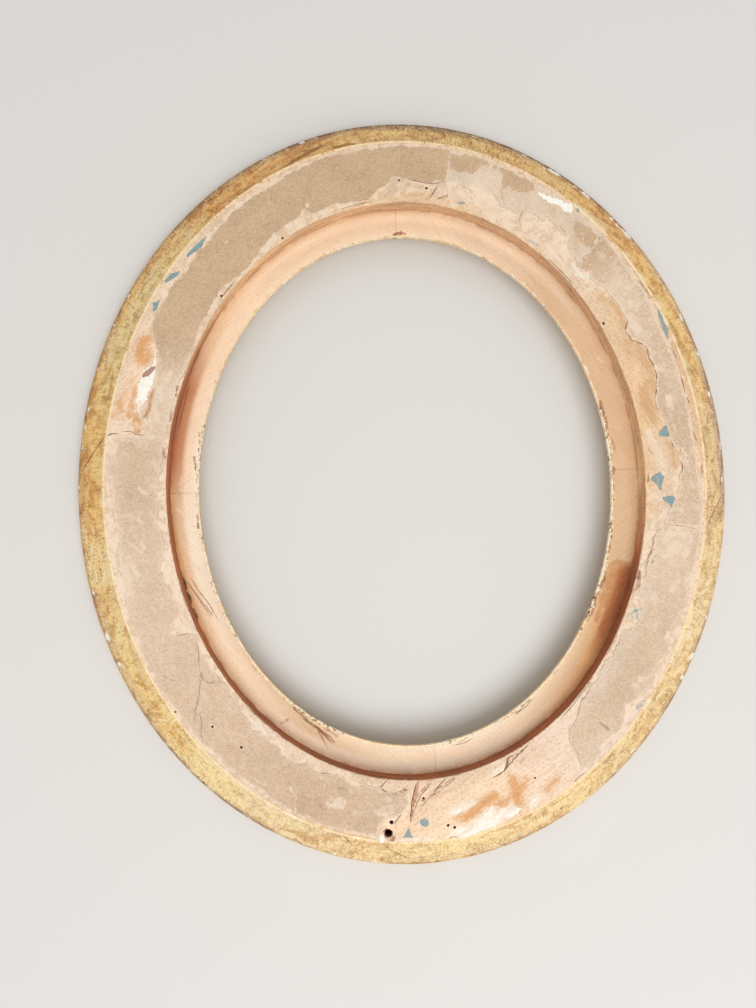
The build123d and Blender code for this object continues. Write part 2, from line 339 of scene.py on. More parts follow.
def closeUp(mesh, sharpDegrees, weld=None):
    # Turns every face outwards. With a weld it first joins seams and caps open ends.
    work = bmesh.new()
    work.from_mesh(mesh)
    if weld:
        bmesh.ops.remove_doubles(work, verts=work.verts, dist=weld * mm)
        bmesh.ops.dissolve_degenerate(work, edges=work.edges, dist=weld / 2 * mm)
        gaps = [edge for edge in work.edges if edge.is_boundary]
        if gaps:
            bmesh.ops.holes_fill(work, edges=gaps, sides=0)
    bmesh.ops.recalc_face_normals(work, faces=work.faces)
    work.to_mesh(mesh)
    work.free()
    mesh.shade_smooth()
    mesh.set_sharp_from_angle(angle=math.radians(sharpDegrees))


def survey(piece):
    points = readPoints(piece.data)
    return piece.data, points, *ovalPlace(points)


def dress(piece, slotName, *nodes):
    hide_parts(*nodes)
    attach(piece, "root")


# Node trees. Every node goes into the tree that is open, and a wire is the output of one of them.
drawing = {}


class Wire:
    def __init__(self, socket):
        self.socket = socket

    def __add__(self, other):
        return calc("ADD", self, other)

    def __sub__(self, other):
        return calc("SUBTRACT", self, other)

    def __rsub__(self, other):
        return calc("SUBTRACT", other, self)

    def __mul__(self, other):
        return calc("MULTIPLY", self, other)

    __radd__ = __add__
    __rmul__ = __mul__


def plug(wire, socket):
    drawing["tree"].links.new(wire.socket, socket)


def newNode(kind, values=None, **settings):
    node = drawing["tree"].nodes.new(kind)
    for name, value in settings.items():
        setattr(node, name, value)
    for socket, value in (values or {}).items():
        if isinstance(value, Wire):
            plug(value, node.inputs[socket])
        else:
            node.inputs[socket].default_value = value
    return node


def wired(kind, values=None, output=0, **settings):
    return Wire(newNode(kind, values, **settings).outputs[output])


def calc(operation, a, b=0.0, clamp=False):
    return wired("ShaderNodeMath", {0: a, 1: b}, operation=operation, use_clamp=clamp)


def larger(*wires):
    result = wires[0]
    for wire in wires[1:]:
        result = calc("MAXIMUM", result, wire)
    return result


def stretch(vector, scale):
    return wired("ShaderNodeVectorMath", {0: vector, 1: scale}, operation="MULTIPLY")


def turnedBy(vector, turn, scale):
    return wired("ShaderNodeMapping", {"Vector": vector, "Rotation": (0, 0, turn), "Scale": scale})


def cloud(vector, scale, detail=4.0, roughness=0.55, distortion=0.0):
    return wired("ShaderNodeTexNoise", {"Vector": vector, "Scale": scale, "Detail": detail,
                                        "Roughness": roughness, "Distortion": distortion})


def step(value, low, high):
    return wired("ShaderNodeMapRange", {"Value": value, "From Min": low, "From Max": high},
                 interpolation_type="SMOOTHSTEP")


def mixColour(share, a, b, blend="MIX"):
    return wired("ShaderNodeMix", {0: share, 6: a, 7: b}, 2, data_type="RGBA", blend_type=blend)


def colourOf(name):
    return (*linear(name), 1.0)


def shaded(colour, share, by):
    return mixColour(share, colour, mixColour(1.0, colour, (*by, 1.0), "MULTIPLY"))


def fray(cover, noise, amount):
    # Where a mark lies. Its edge is broken up by noise much finer than the mesh.
    return step(cover + (noise - 0.5) * amount, 0.42, 0.58)


def parts(vector):
    outputs = newNode("ShaderNodeSeparateXYZ", {0: vector}).outputs
    return [Wire(output) for output in outputs]


def shaderGroup(name, colours, vectors, values):
    # Opens a new group, with inputs of three kinds and a finish that its builder fills in
    tree = drawing["tree"] = bpy.data.node_groups.new(name, "ShaderNodeTree")
    for kind, labels in (("NodeSocketColor", colours), ("NodeSocketVector", vectors)):
        for label in labels:
            tree.interface.new_socket(label, in_out="INPUT", socket_type=kind)
    for label, default in values.items():
        socket = tree.interface.new_socket(label, in_out="INPUT", socket_type="NodeSocketFloat")
        socket.default_value = default
    return {socket.name: Wire(socket) for socket in newNode("NodeGroupInput").outputs if socket.name}


def closeGroup(**finish):
    tree = drawing["tree"]
    for label in finish:
        kind = "NodeSocketColor" if label == "Colour" else "NodeSocketFloat"
        tree.interface.new_socket(label, in_out="OUTPUT", socket_type=kind)
    out = newNode("NodeGroupOutput")
    for label, wire in finish.items():
        plug(wire, out.inputs[label])
    return tree


def objectPlace():
    return wired("ShaderNodeTexCoord", None, "Object")


def buildCracks():
    # Fine dark lines. The stored vector holds the distance from the line's middle, its half width and
    # its strength, the first two in millimetres.
    given = shaderGroup("fineCracks", [], ["Seam"], {})
    place = objectPlace()
    away, halfWidth, strength = parts(given["Seam"])
    waver = (cloud(place, 520.0, 4.0, 0.6) - 0.5) * 1.1
    swell = cloud(place, 240.0, 3.0) * 2.2 - 0.1
    gap = calc("ABSOLUTE", away + waver) - halfWidth * swell
    return closeGroup(Mask=(1.0 - step(gap, -0.06, 0.09)) * strength)


def buildGrain():
    # Bare softwood: long grain, torn fibres, chalky residue, dirt specks and frayed stains.
    given = shaderGroup("timberGrain", ["Tint", "Patch"], ["Grain"],
                        {"Cover": 0, "Crack": 0, "Wear": 0, "Contrast": 0.5, "Dirt": 0.5})
    place, wear, contrast, dirt = objectPlace(), given["Wear"], given["Contrast"], given["Dirt"]
    fibres = cloud(stretch(given["Grain"], (70, 950, 950)), 1.0, 6.0, 0.66, 0.35)
    broad = cloud(stretch(given["Grain"], (30, 95, 95)), 1.0, 5.0, 0.62, 0.8)
    grit = cloud(place, 760.0, 5.0, 0.68)
    blotch = cloud(place, 230.0, 6.0, 0.68, 0.5)
    colour = shaded(given["Tint"], step(fibres, 0.44, 0.66) * contrast, (0.76, 0.62, 0.50))
    colour = shaded(colour, step(broad, 0.48, 0.60) * contrast * 0.5, (0.86, 0.74, 0.62))
    colour = shaded(colour, step(grit, 0.46, 0.66) * dirt * 0.9, (0.74, 0.64, 0.54))
    # Chalky residue and shreds of paper that still cling to the wood
    crumbs = step(cloud(place, 820.0, 4.0, 0.62) + wear * 0.10, 0.60, 0.66)
    chalky = larger(step(blotch + wear * 0.25, 0.60, 0.65), crumbs)
    colour = mixColour(chalky * 0.66, colour, colourOf("residue"))
    shreds = step(wear * 0.16 - blotch, -0.36, -0.33)
    colour = mixColour(shreds * 0.75, colour, colourOf("paperFawn"))
    noise = fibres * 0.2 + blotch * 0.5 + grit * 0.3
    mark = fray(given["Cover"], noise, 4.2)
    patch = shaded(given["Patch"], step(fibres, 0.44, 0.60) * 0.5, (0.78, 0.66, 0.54))
    thin = step(noise, 0.57, 0.46) * 0.55 + 0.45
    colour = mixColour(mark * thin, colour, patch)
    specks = step(cloud(place, 1150.0, 3.0, 0.6), 0.69, 0.73) * step(blotch + wear * 0.2, 0.44, 0.56)
    colour = mixColour(specks * dirt, colour, colourOf("grime"))
    height = fibres * 0.55 + grit * 0.35 + (chalky + shreds) * 0.22 - given["Crack"] * 1.1 - mark * 0.12
    return closeGroup(Colour=mixColour(given["Crack"], colour, colourOf("umber")), Height=height,
                      Roughness=fibres * 0.22 + 0.68)


def buildFibre():
    # Old pasted paper: mottled tone, fine fibres, a top ply that flakes off, a torn pale edge, and painted
    # shade along that edge.
    given = shaderGroup("paperFibre", ["Tint", "Patch", "Flaked"], [],
                        {"Cover": 0, "Crack": 0, "Wear": 0, "Edge": 9.0, "Mottle": 0.5, "Specks": 0.5})
    place, mottle, bared = objectPlace(), given["Mottle"], given["Flaked"]
    clouds = cloud(place, 75.0, 5.0, 0.6, 0.4)
    flakes = cloud(place, 430.0, 7.0, 0.74, 0.4)
    fine = cloud(place, 1250.0, 4.0, 0.68)
    colour = shaded(given["Tint"], step(clouds, 0.42, 0.62) * mottle * 0.5, (0.86, 0.82, 0.78))
    colour = shaded(colour, step(flakes, 0.49, 0.56) * mottle * 0.7, (0.86, 0.81, 0.76))
    colour = shaded(colour, step(fine, 0.46, 0.64) * mottle, (0.70, 0.64, 0.58))
    fibres = larger(*[step(cloud(turnedBy(place, turn, (200, 2300, 900)), 1.0, 3.0, 0.6), 0.63, 0.70)
                      for turn in (0.35, 1.45, 2.5)])
    colour = mixColour(fibres * 0.30, colour, mixColour(0.6, colour, bared))
    # The torn edge thins out to the pale ply underneath, and more of the top ply is gone near it
    near = calc("SUBTRACT", 1.0, given["Edge"] * 0.8, clamp=True)
    wear = given["Wear"] * 0.28 + near * 0.24
    hazy = step(cloud(place, 150.0, 6.0, 0.72, 0.6) + wear + fine * 0.25, 0.68, 0.84)
    colour = mixColour(hazy * 0.55, colour, bared)
    worn = step(flakes + wear + (fine - 0.5) * 0.25, 0.64, 0.69)
    worn = larger(worn, step(cloud(place, 780.0, 4.0, 0.6) + given["Wear"] * 0.15, 0.61, 0.65))
    colour = mixColour(worn * 0.88, colour, shaded(bared, step(fine, 0.42, 0.66) * 0.6, (0.86, 0.78, 0.70)))
    mark = fray(given["Cover"], flakes * 0.6 + fine * 0.4, 2.6)
    patch = shaded(given["Patch"], step(fine, 0.42, 0.62) * 0.6, (0.80, 0.70, 0.62))
    colour = mixColour(mark * 0.9, colour, patch)
    specks = step(cloud(place, 640.0, 3.0, 0.6), 0.69, 0.74) * given["Specks"]
    colour = mixColour(specks, colour, colourOf("grime"))
    # A thin dark line just inside the torn edge is painted shade under the lifted edge
    rim = (1.0 - step(given["Edge"] + fine * 0.3, 0.16, 0.42)) * step(clouds, 0.46, 0.56)
    colour = mixColour(rim * mottle, colour, colourOf("crease"))
    height = fine * 0.45 + fibres * 0.25 - (worn * 0.45 + given["Crack"]) + flakes * 0.3
    return closeGroup(Colour=mixColour(given["Crack"], colour, colourOf("crease")), Height=height)


def buildGilding():
    # Oil gilding gone cloudy: varnish islands, dragged streaks, slanting scratches, pale flecks, bare gesso.
    given = shaderGroup("agedGilding", ["Tint", "Patch"], ["Sweep", "Age"],
                        {"Cover": 0, "Crack": 0, "Cloudiness": 0.5})
    place, dark, pale = objectPlace(), given["Cloudiness"], colourOf("fleckGold")
    fleckShare, scratchShare, bareness = parts(given["Age"])
    islands = cloud(place, 250.0, 6.0, 0.68, 0.8)
    streaks = cloud(stretch(given["Sweep"], (900, 90, 1)), 1.0, 6.0, 0.64, 0.3)
    grit = cloud(place, 1000.0, 5.0, 0.72)
    worms = cloud(place, 420.0, 4.0, 0.6, 2.2)
    slant = cloud(turnedBy(given["Sweep"], 0.62, (1000, 120, 1)), 1.0, 4.0, 0.62, 0.6)
    drift = cloud(place, 95.0, 5.0, 0.6, 1.0)
    colour = shaded(given["Tint"], step(drift, 0.49, 0.60) * dark, (0.74, 0.60, 0.40))
    colour = shaded(colour, step(islands, 0.49, 0.59) * dark, (0.80, 0.66, 0.46))
    colour = shaded(colour, step(streaks, 0.52, 0.61) * dark, (0.66, 0.50, 0.30))
    colour = shaded(colour, step(grit, 0.47, 0.64) * dark * 0.8, (0.68, 0.51, 0.32))
    colour = mixColour(step(grit * 0.8 - drift * 0.5, 0.15, 0.25) * 0.60, colour, pale)
    flecks = step(worms * 0.6 + grit * 0.4 + fleckShare * 0.24, 0.61, 0.65)
    colour = mixColour(flecks * 0.88, colour, pale)
    scratches = step(slant + scratchShare * 0.14, 0.66, 0.70) * step(islands + scratchShare * 0.1, 0.46, 0.54)
    colour = mixColour(scratches * 0.62, colour, colourOf("rubbed"))
    bare = fray(bareness, streaks * 0.6 + grit * 0.4, 6.5)
    gesso = shaded(colourOf("gesso"), step(grit, 0.45, 0.62) * 0.7, (0.80, 0.68, 0.54))
    gesso = mixColour(step(streaks, 0.44, 0.58) * 0.45, gesso, colourOf("goldPale"))
    colour = mixColour(bare, colour, gesso)
    mark = fray(given["Cover"], islands * 0.5 + grit * 0.5, 3.4)
    patch = shaded(given["Patch"], step(grit, 0.48, 0.64) * 0.5, (0.76, 0.64, 0.50))
    colour = mixColour(mark * 0.95, colour, patch)
    dull = larger(scratches, bare, mark, flecks)
    metal = calc("SUBTRACT", 1.0, larger(dull, given["Crack"]), clamp=True) * 0.26
    height = grit * 0.5 + streaks * 0.35 - (scratches * 0.4 + given["Crack"]) - larger(bare, mark) * 0.35
    return closeGroup(Colour=mixColour(given["Crack"], colour, colourOf("umber")), Metal=metal,
                      Roughness=islands * 0.16 + 0.40 + dull * 0.22, Height=height)


crackGroup = buildCracks()
grainGroup = buildGrain()
fibreGroup = buildFibre()
gildingGroup = buildGilding()


def newMaterial(name, **constants):
    material = bpy.data.materials.new(name)
    material.use_nodes = True
    drawing["tree"] = material.node_tree
    shader = material.node_tree.nodes["Principled BSDF"]
    for label, value in constants.items():
        shader.inputs[label.replace("_", " ")].default_value = value
    return material, shader


def stored(name, output="Vector"):
    return wired("ShaderNodeAttribute", None, output, attribute_type="GEOMETRY", attribute_name=name)


def painted(group, shader, strength, distance, **values):
    # Joins a group to the paint that every piece stores, and to the material's own shader
    cracks = wired("ShaderNodeGroup", {"Seam": stored("seam")}, "Mask", node_tree=crackGroup)
    finish = newNode("ShaderNodeGroup", {
        "Tint": stored("tint", "Color"), "Patch": stored("patch", "Color"), "Cover": stored("cover", "Fac"),
        "Crack": cracks, **values}, node_tree=group).outputs
    for label, socket in (("Colour", "Base Color"), ("Metal", "Metallic"), ("Roughness", "Roughness")):
        if label in finish:
            plug(Wire(finish[label]), shader.inputs[socket])
    bump = {"Height": Wire(finish["Height"]), "Strength": strength, "Distance": distance}
    plug(wired("ShaderNodeBump", bump), shader.inputs["Normal"])


def woodMaterial(name, contrast, dirt):
    material, shader = newMaterial(name)
    painted(grainGroup, shader, 0.7, 0.00024, Grain=stored("grain"), Wear=stored("wear", "Fac"),
            Contrast=contrast, Dirt=dirt)
    return material


def paperMaterial(name, flaked, mottle, specks):
    material, shader = newMaterial(name, Roughness=0.86)
    painted(fibreGroup, shader, 0.65, 0.00022, Wear=stored("wear", "Fac"), Edge=stored("edge", "Fac"),
            Flaked=colourOf(flaked), Mottle=mottle, Specks=specks)
    return material


def gildedMaterial(name, cloudiness):
    material, shader = newMaterial(name)
    painted(gildingGroup, shader, 0.6, 0.00028, Sweep=stored("sweep"), Age=stored("age"),
            Cloudiness=cloudiness)
    return material


bareWood = woodMaterial("bareWood", 0.34, 0.80)
ledgeWood = woodMaterial("turnedLedgeWood", 0.20, 0.36)
backPaper = paperMaterial("backingPaper", "scuff", 0.68, 0.55)
plyPaper = paperMaterial("underPly", "scuff", 0.45, 0.25)
bluePaper = paperMaterial("bluePaper", "scuff", 0.60, 0.30)
chalkPaint = paperMaterial("whitePaint", "chalk", 0.16, 0.20)
sideGold = gildedMaterial("sideGilding", 0.82)
frontGold = gildedMaterial("frontGilding", 0.30)


# One tree turns every ring of the frame: it carries the points of a section round the oval.
def buildSweep():
    tree = drawing["tree"] = bpy.data.node_groups.new("turnedSweep", "GeometryNodeTree")
    sockets = {}
    labels = {"Section": "Geometry", "Columns": "Int", "Lead": "Float", "Finish": "Material"}
    for label, kind in labels.items():
        made = tree.interface.new_socket(label, in_out="INPUT", socket_type="NodeSocket" + kind)
        sockets[label] = made.identifier
    tree.interface.new_socket("Ring", in_out="OUTPUT", socket_type="NodeSocketGeometry")
    given = {socket.name: Wire(socket) for socket in newNode("NodeGroupInput").outputs}
    perColumn = wired("GeometryNodeAttributeDomainSize", {"Geometry": given["Section"]}, "Point Count")
    grid = wired("GeometryNodeMeshGrid", {"Vertices X": given["Columns"], "Vertices Y": perColumn}, "Mesh")
    index = wired("GeometryNodeInputIndex")
    row = wired("FunctionNodeIntegerMath", {0: index, 1: perColumn}, operation="MODULO")
    column = wired("FunctionNodeIntegerMath", {0: index, 1: perColumn}, operation="DIVIDE_FLOOR")

    def sampled(value, kind="FLOAT"):
        return wired("GeometryNodeSampleIndex", {"Geometry": given["Section"], "Value": value, "Index": row},
                     data_type=kind)

    def named(name):
        return sampled(wired("GeometryNodeInputNamedAttribute", {"Name": name}, "Attribute",
                             data_type="FLOAT"))

    reach, _, height = parts(sampled(wired("GeometryNodeInputPosition"), "FLOAT_VECTOR"))
    start = named("startTurn")
    turn = start + (named("endTurn") - start) * calc("DIVIDE", column, given["Columns"] - 1.0)
    place = wired("ShaderNodeCombineXYZ", {"X": reach * calc("COSINE", turn),
                                           "Y": (reach + given["Lead"]) * calc("SINE", turn), "Z": height})
    moved = wired("GeometryNodeSetPosition", {"Geometry": grid, "Position": place})
    real = wired("GeometryNodeRealizeInstances", {"Geometry": moved})
    finished = wired("GeometryNodeSetMaterial", {"Geometry": real, "Material": given["Finish"]})
    plug(finished, newNode("NodeGroupOutput").inputs[0])
    return tree, sockets


sweepTree, sweepSockets = buildSweep()


def turned(name, section, startTurns, endTurns, columns, material):
    points = [(reach * mm, 0.0, height * mm) for reach, height in section]
    piece = meshObject(name, points, [])
    keep(piece.data, "startTurn", startTurns)
    keep(piece.data, "endTurn", endTurns)
    modifier = piece.modifiers.new("turned", "NODES")
    modifier.node_group = sweepTree
    modifier[sweepSockets["Columns"]] = columns
    modifier[sweepSockets["Lead"]] = lead * mm
    modifier[sweepSockets["Finish"]] = material
    closeUp(applied(piece), 38, weld=0.002)
    return piece


# Joints near the ends of the two axes. A scarf runs round the oval as it goes deeper, a butt joint doesn't.
joints = {                   # each one's x or y on the flat back, and how much it shifts with the depth
    "scarf": ({"top": 26.5, "left": 33.0, "bottom": -22.0, "right": -26.0}, 1.0),
    "butt": ({"top": -1.0, "left": 2.0, "bottom": 10.5, "right": 7.5}, 0.0),
}
quarters = {                 # each runs counterclockwise from its first joint to its second
    "upper_right": ("right", "top"),
    "upper_left": ("top", "left"),
    "lower_left": ("left", "bottom"),
    "lower_right": ("bottom", "right"),
}


def jointTurns(section, side, places, slope, gap):
    # Where a joint's slanting cut meets each point of the cross-section
    sign = -1 if side in ("top", "left") else 1
    upright = side in ("top", "bottom")
    turns = []
    for reach, height in section:
        place = places[side] + sign * slope * (depth - height) + sign * gap
        turns.append(math.acos(place / reach) if upright else math.asin(place / (reach + lead)))
    turns = np.array(turns)
    return {"top": turns, "left": math.pi - turns, "bottom": 2 * math.pi - turns, "right": turns}[side]


def quarterRing(name, section, place, kind, columns, material):
    first, last = quarters[place]
    places, slope = joints[kind]
    starts = jointTurns(section, first, places, slope, jointGap / 2)
    ends = jointTurns(section, last, places, slope, -jointGap / 2)
    return turned(name, section, starts, np.where(ends < starts, ends + 2 * math.pi, ends), columns, material)


def wrapped(stops):
    # The stops once round the oval, with the last one before 0 degrees and the first one past 360
    stops = sorted(stops)
    return zip((stops[-1][0] - 360, stops[-1][1]), *stops, (stops[0][0] + 360, stops[0][1]))


def roundOval(angle, stops):
    # A number that changes round the oval
    return np.interp(angle, *wrapped(stops))


def paintTones(angle, across, rings):
    # Rings of named colours. Each ring is an across value with an angle for each of its colours.
    levels, layers = sorted(rings), []
    for level in levels:
        stops = [stop.split() for stop in rings[level].split(",")]
        angles, names = wrapped([(float(degrees), name) for degrees, name in stops])
        colours = np.array([linear(name) for name in names])
        layers.append(np.stack([np.interp(angle, angles, colours[:, k]) for k in range(3)], axis=1))
    result = layers[0].copy()
    for low, high, layer in zip(levels, levels[1:], layers[1:]):
        share = smooth(across, low, high)[:, None]
        result = result * (1 - share) + layer * share
    return result


def lifted(flat, level):
    # Unrolled places as points for the noise, which has a level of its own for each piece
    return np.column_stack([flat, np.full(len(flat), float(level))])


def varied(tint, points, amount, cell, seed):
    return tint * (1 + amount * fractal(points, cell, seed))[:, None]


def blend(tint, name, share):
    tint += (linear(name) - tint) * share[:, None]


def pathShape(flat, path, reachOut):
    # Places near a path, with their distance to its edge and to its middle, and where along it they lie
    path = np.array(path)
    ends = flatPlace(path[:, 0], path[:, 1])
    widths = path[:, 2] if path.shape[1] > 2 else np.zeros(len(path))
    middle = (ends.min(axis=0) + ends.max(axis=0)) / 2
    half = np.ptp(ends, axis=0) / 2 + reachOut + widths.max()
    near = np.where((np.abs(flat - middle) < half).all(axis=1))[0]
    spots = flat[near]
    shape = np.full((4, len(near)), np.inf)
    if len(ends) == 1:
        ends, widths = np.repeat(ends, 2, axis=0), np.repeat(widths, 2)
    runs = np.diff(ends, axis=0)
    lengths = np.hypot(*runs.T)
    for number, (a, run, length) in enumerate(zip(ends, runs, lengths)):
        away = spots - a
        free = away @ run / max(length * length, 1e-9)
        t = np.clip(free, 0, 1)
        distance = np.hypot(*(away - t[:, None] * run).T)
        edge = distance - widths[number] - (widths[number + 1] - widths[number]) * t
        first, last = number == 0, number == len(runs) - 1
        along = np.where((free < 0) & first | (free > 1) & last, free, t) * length + lengths[:number].sum()
        side = np.where(run[0] * away[:, 1] - run[1] * away[:, 0] < 0, -1.0, 1.0)
        nearer = distance < shape[1]
        shape[0] = np.minimum(shape[0], edge)
        shape[1:, nearer] = np.stack([distance, side, along])[:, nearer]
    return near, shape, lengths.sum()


def paintStains(tint, flat, stains):
    # Soft marks, blended into the tone: colour, half width and strength
    for number, (name, width, strength, path) in enumerate(stains):
        near, shape, _ = pathShape(flat, path, width * 2.5)
        wobble = fractal(lifted(flat[near], 0), width * 1.6, 700 + number) * width * 0.7
        share = 1 - smooth(shape[1] + wobble, width * 0.4, width * 1.4)
        tint[near] += (linear(name) - tint[near]) * (share * strength)[:, None]


def newPaint(tint, flat):
    # What the materials read at each vertex, besides the tone
    return {"tint": tint, "flat": flat, "patch": tint.copy(), "cover": np.full(len(tint), -0.6),
            "seam": np.tile([5.0, -1.0, 0.0], (len(tint), 1)), "relief": np.zeros(len(tint))}


def addPatches(paint, entries, seed=900, soft=None):
    # Marks with a frayed outline: colour, strength and perhaps a depth, then angle, across and half width
    flat, tint = paint["flat"], paint["tint"]
    for number, (name, strength, *cut, path) in enumerate(entries):
        near, shape, _ = pathShape(flat, path, 4.0 + (soft or 0))
        if len(near) == 0:
            continue
        mean = np.mean([p[2] for p in path])
        fade = soft or min(max(0.55 * mean, 0.6), 1.3)
        wobble = fractal(lifted(flat[near], 0), max(1.6 * mean, 1.4), seed + number) * mean * 0.45
        cover = 0.5 - (shape[0] + wobble) / (2 * fade)
        if soft:
            tint[near] += (linear(name) - tint[near]) * (0.6 * strength * smooth(cover, -0.3, 0.9))[:, None]
        wins = (cover > -0.55) & (cover >= paint["cover"][near] * 0.9)
        at = near[wins]
        paint["patch"][at] = tint[at] + (linear(name) - tint[at]) * strength
        paint["cover"][at] = np.maximum(paint["cover"][at], np.clip(cover[wins], -0.6, 1.4))
        paint["relief"][near] += sum(cut) * smooth(cover, 0.3, 0.9)


def addSeams(paint, entries):
    # Fine dark lines: half width and strength, then angle and across
    for width, strength, path in entries:
        near, shape, total = pathShape(paint["flat"], path, 2.6)
        if len(near) == 0:
            continue
        taper = max(1.2, 0.22 * total)
        thin = np.clip(np.minimum(shape[3], total - shape[3]) / taper, -1, 1)
        half = width * thin - np.maximum(0, shape[1] - 0.65) * 1.5
        wins = shape[1] < np.abs(paint["seam"][near, 0])
        signed = np.stack([shape[1] * shape[2], half, np.full(len(near), strength)], axis=1)
        paint["seam"][near[wins]] = signed[wins]
        paint["relief"][near] += 0.12 * np.exp(-(shape[1] / 0.5) ** 2) * (thin > 0)


def storePaint(mesh, points, paint):
    writePoints(mesh, points)
    for name in ("tint", "patch", "cover", "seam"):
        keep(mesh, name, paint[name])


def patchy(points, cell, seed, low, high):
    return smooth(fractal(points, cell, seed), low, high)


def grainOf(points, place):
    # Distances along and across each timber: its grain follows the chord of its arc.
    middles = {"upper_right": 36.0, "upper_left": 126.0, "lower_left": 216.0, "lower_right": 306.0}
    turn = math.radians(middles[place] + 90)
    along, across = np.array([math.cos(turn), math.sin(turn)]), np.array([-math.sin(turn), math.cos(turn)])
    shift = 0.05 * sorted(middles).index(place)
    return np.column_stack([points[:, :2] @ along * mm + shift, points[:, :2] @ across * mm + shift,
                            points[:, 2] * mm])


# Torn sheets. Each takes its outline from the thin solid that it stands for, or has outlines of its own.
def topOutlines(name):
    # The loops round the upper face of a thin solid
    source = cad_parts[name].data
    points = np.round(readPoints(source), 3)
    places, ids = np.unique(points, axis=0, return_inverse=True)
    ids = ids.ravel()
    edges = {}
    for polygon in source.polygons:
        if polygon.normal.z < 0.9:
            continue
        corners = [int(ids[v]) for v in polygon.vertices]
        for a, b in zip(corners, corners[1:] + corners[:1]):
            if (b, a) in edges:
                del edges[(b, a)]
            else:
                edges[(a, b)] = True
    follow = {a: b for a, b in edges}
    loops = []
    while follow:
        start, here = next(iter(follow.items()))
        del follow[start]
        loop = [start]
        while here != start:
            loop.append(here)
            here = follow.pop(here)
        loops.append(places[loop])
    return loops


def areaOf(loop):
    # Below zero for a hole, which runs clockwise
    x, y = loop[:, 0], loop[:, 1]
    return 0.5 * np.sum(x * np.roll(y, -1) - np.roll(x, -1) * y)


def insideLoop(spots, loop):
    # Even and odd crossings of a ray towards +X
    inside = np.zeros(len(spots), bool)
    x, y = spots[:, 0], spots[:, 1]
    for a, b in zip(loop, np.roll(loop, -1, axis=0)):
        crosses = (a[1] > y) != (b[1] > y)
        if crosses.any():
            at = a[0] + (y - a[1]) * (b[0] - a[0]) / (b[1] - a[1] + 1e-12)
            inside ^= crosses & (x < at)
    return inside


def insideBorders(spots, borders):
    # Inside the first border and outside the holes
    inside = insideLoop(spots, borders[0])
    for hole in borders[1:]:
        inside &= ~insideLoop(spots, hole)
    return inside


def raggedLoop(loop, gap, amount, seed, drawn=()):
    # The outline with a torn edge. Ends within a joint's reach are drawn up to it.
    angle, reach = ovalPlace(loop)
    for joint, within in drawn:
        away = (angle - joint + 180) % 360 - 180
        close = np.abs(away) < within
        angle = np.where(close, joint + np.sign(away) * 0.1, angle)
    if len(drawn):
        turn = np.radians(angle)
        loop = np.column_stack([reach * np.cos(turn), (reach + lead) * np.sin(turn)])
    pieces = []
    for a, b in zip(loop, np.roll(loop, -1, axis=0)):
        count = max(1, round(math.dist(a, b) / gap))
        pieces += [a + (b - a) * k / count for k in range(count)]
    dense = np.array(pieces)
    run = np.roll(dense, -1, axis=0) - np.roll(dense, 1, axis=0)
    out = np.column_stack([run[:, 1], -run[:, 0]]) / np.maximum(np.hypot(*run.T), 1e-9)[:, None]
    seedPoints = lifted(dense, 7.0 * seed)
    shift = amount * (fractal(seedPoints, 3.4, seed, 3) + 0.6 * fractal(seedPoints, 1.1, seed + 9, 2))
    return dense + out * shift[:, None]


def nearestDistance(spots, loopPoints):
    result = np.empty(len(spots))
    for start in range(0, len(spots), 2000):
        part = spots[start:start + 2000]
        away = part[:, None, :] - loopPoints[None, :, :]
        result[start:start + 2000] = np.sqrt((away ** 2).sum(axis=2).min(axis=1))
    return result


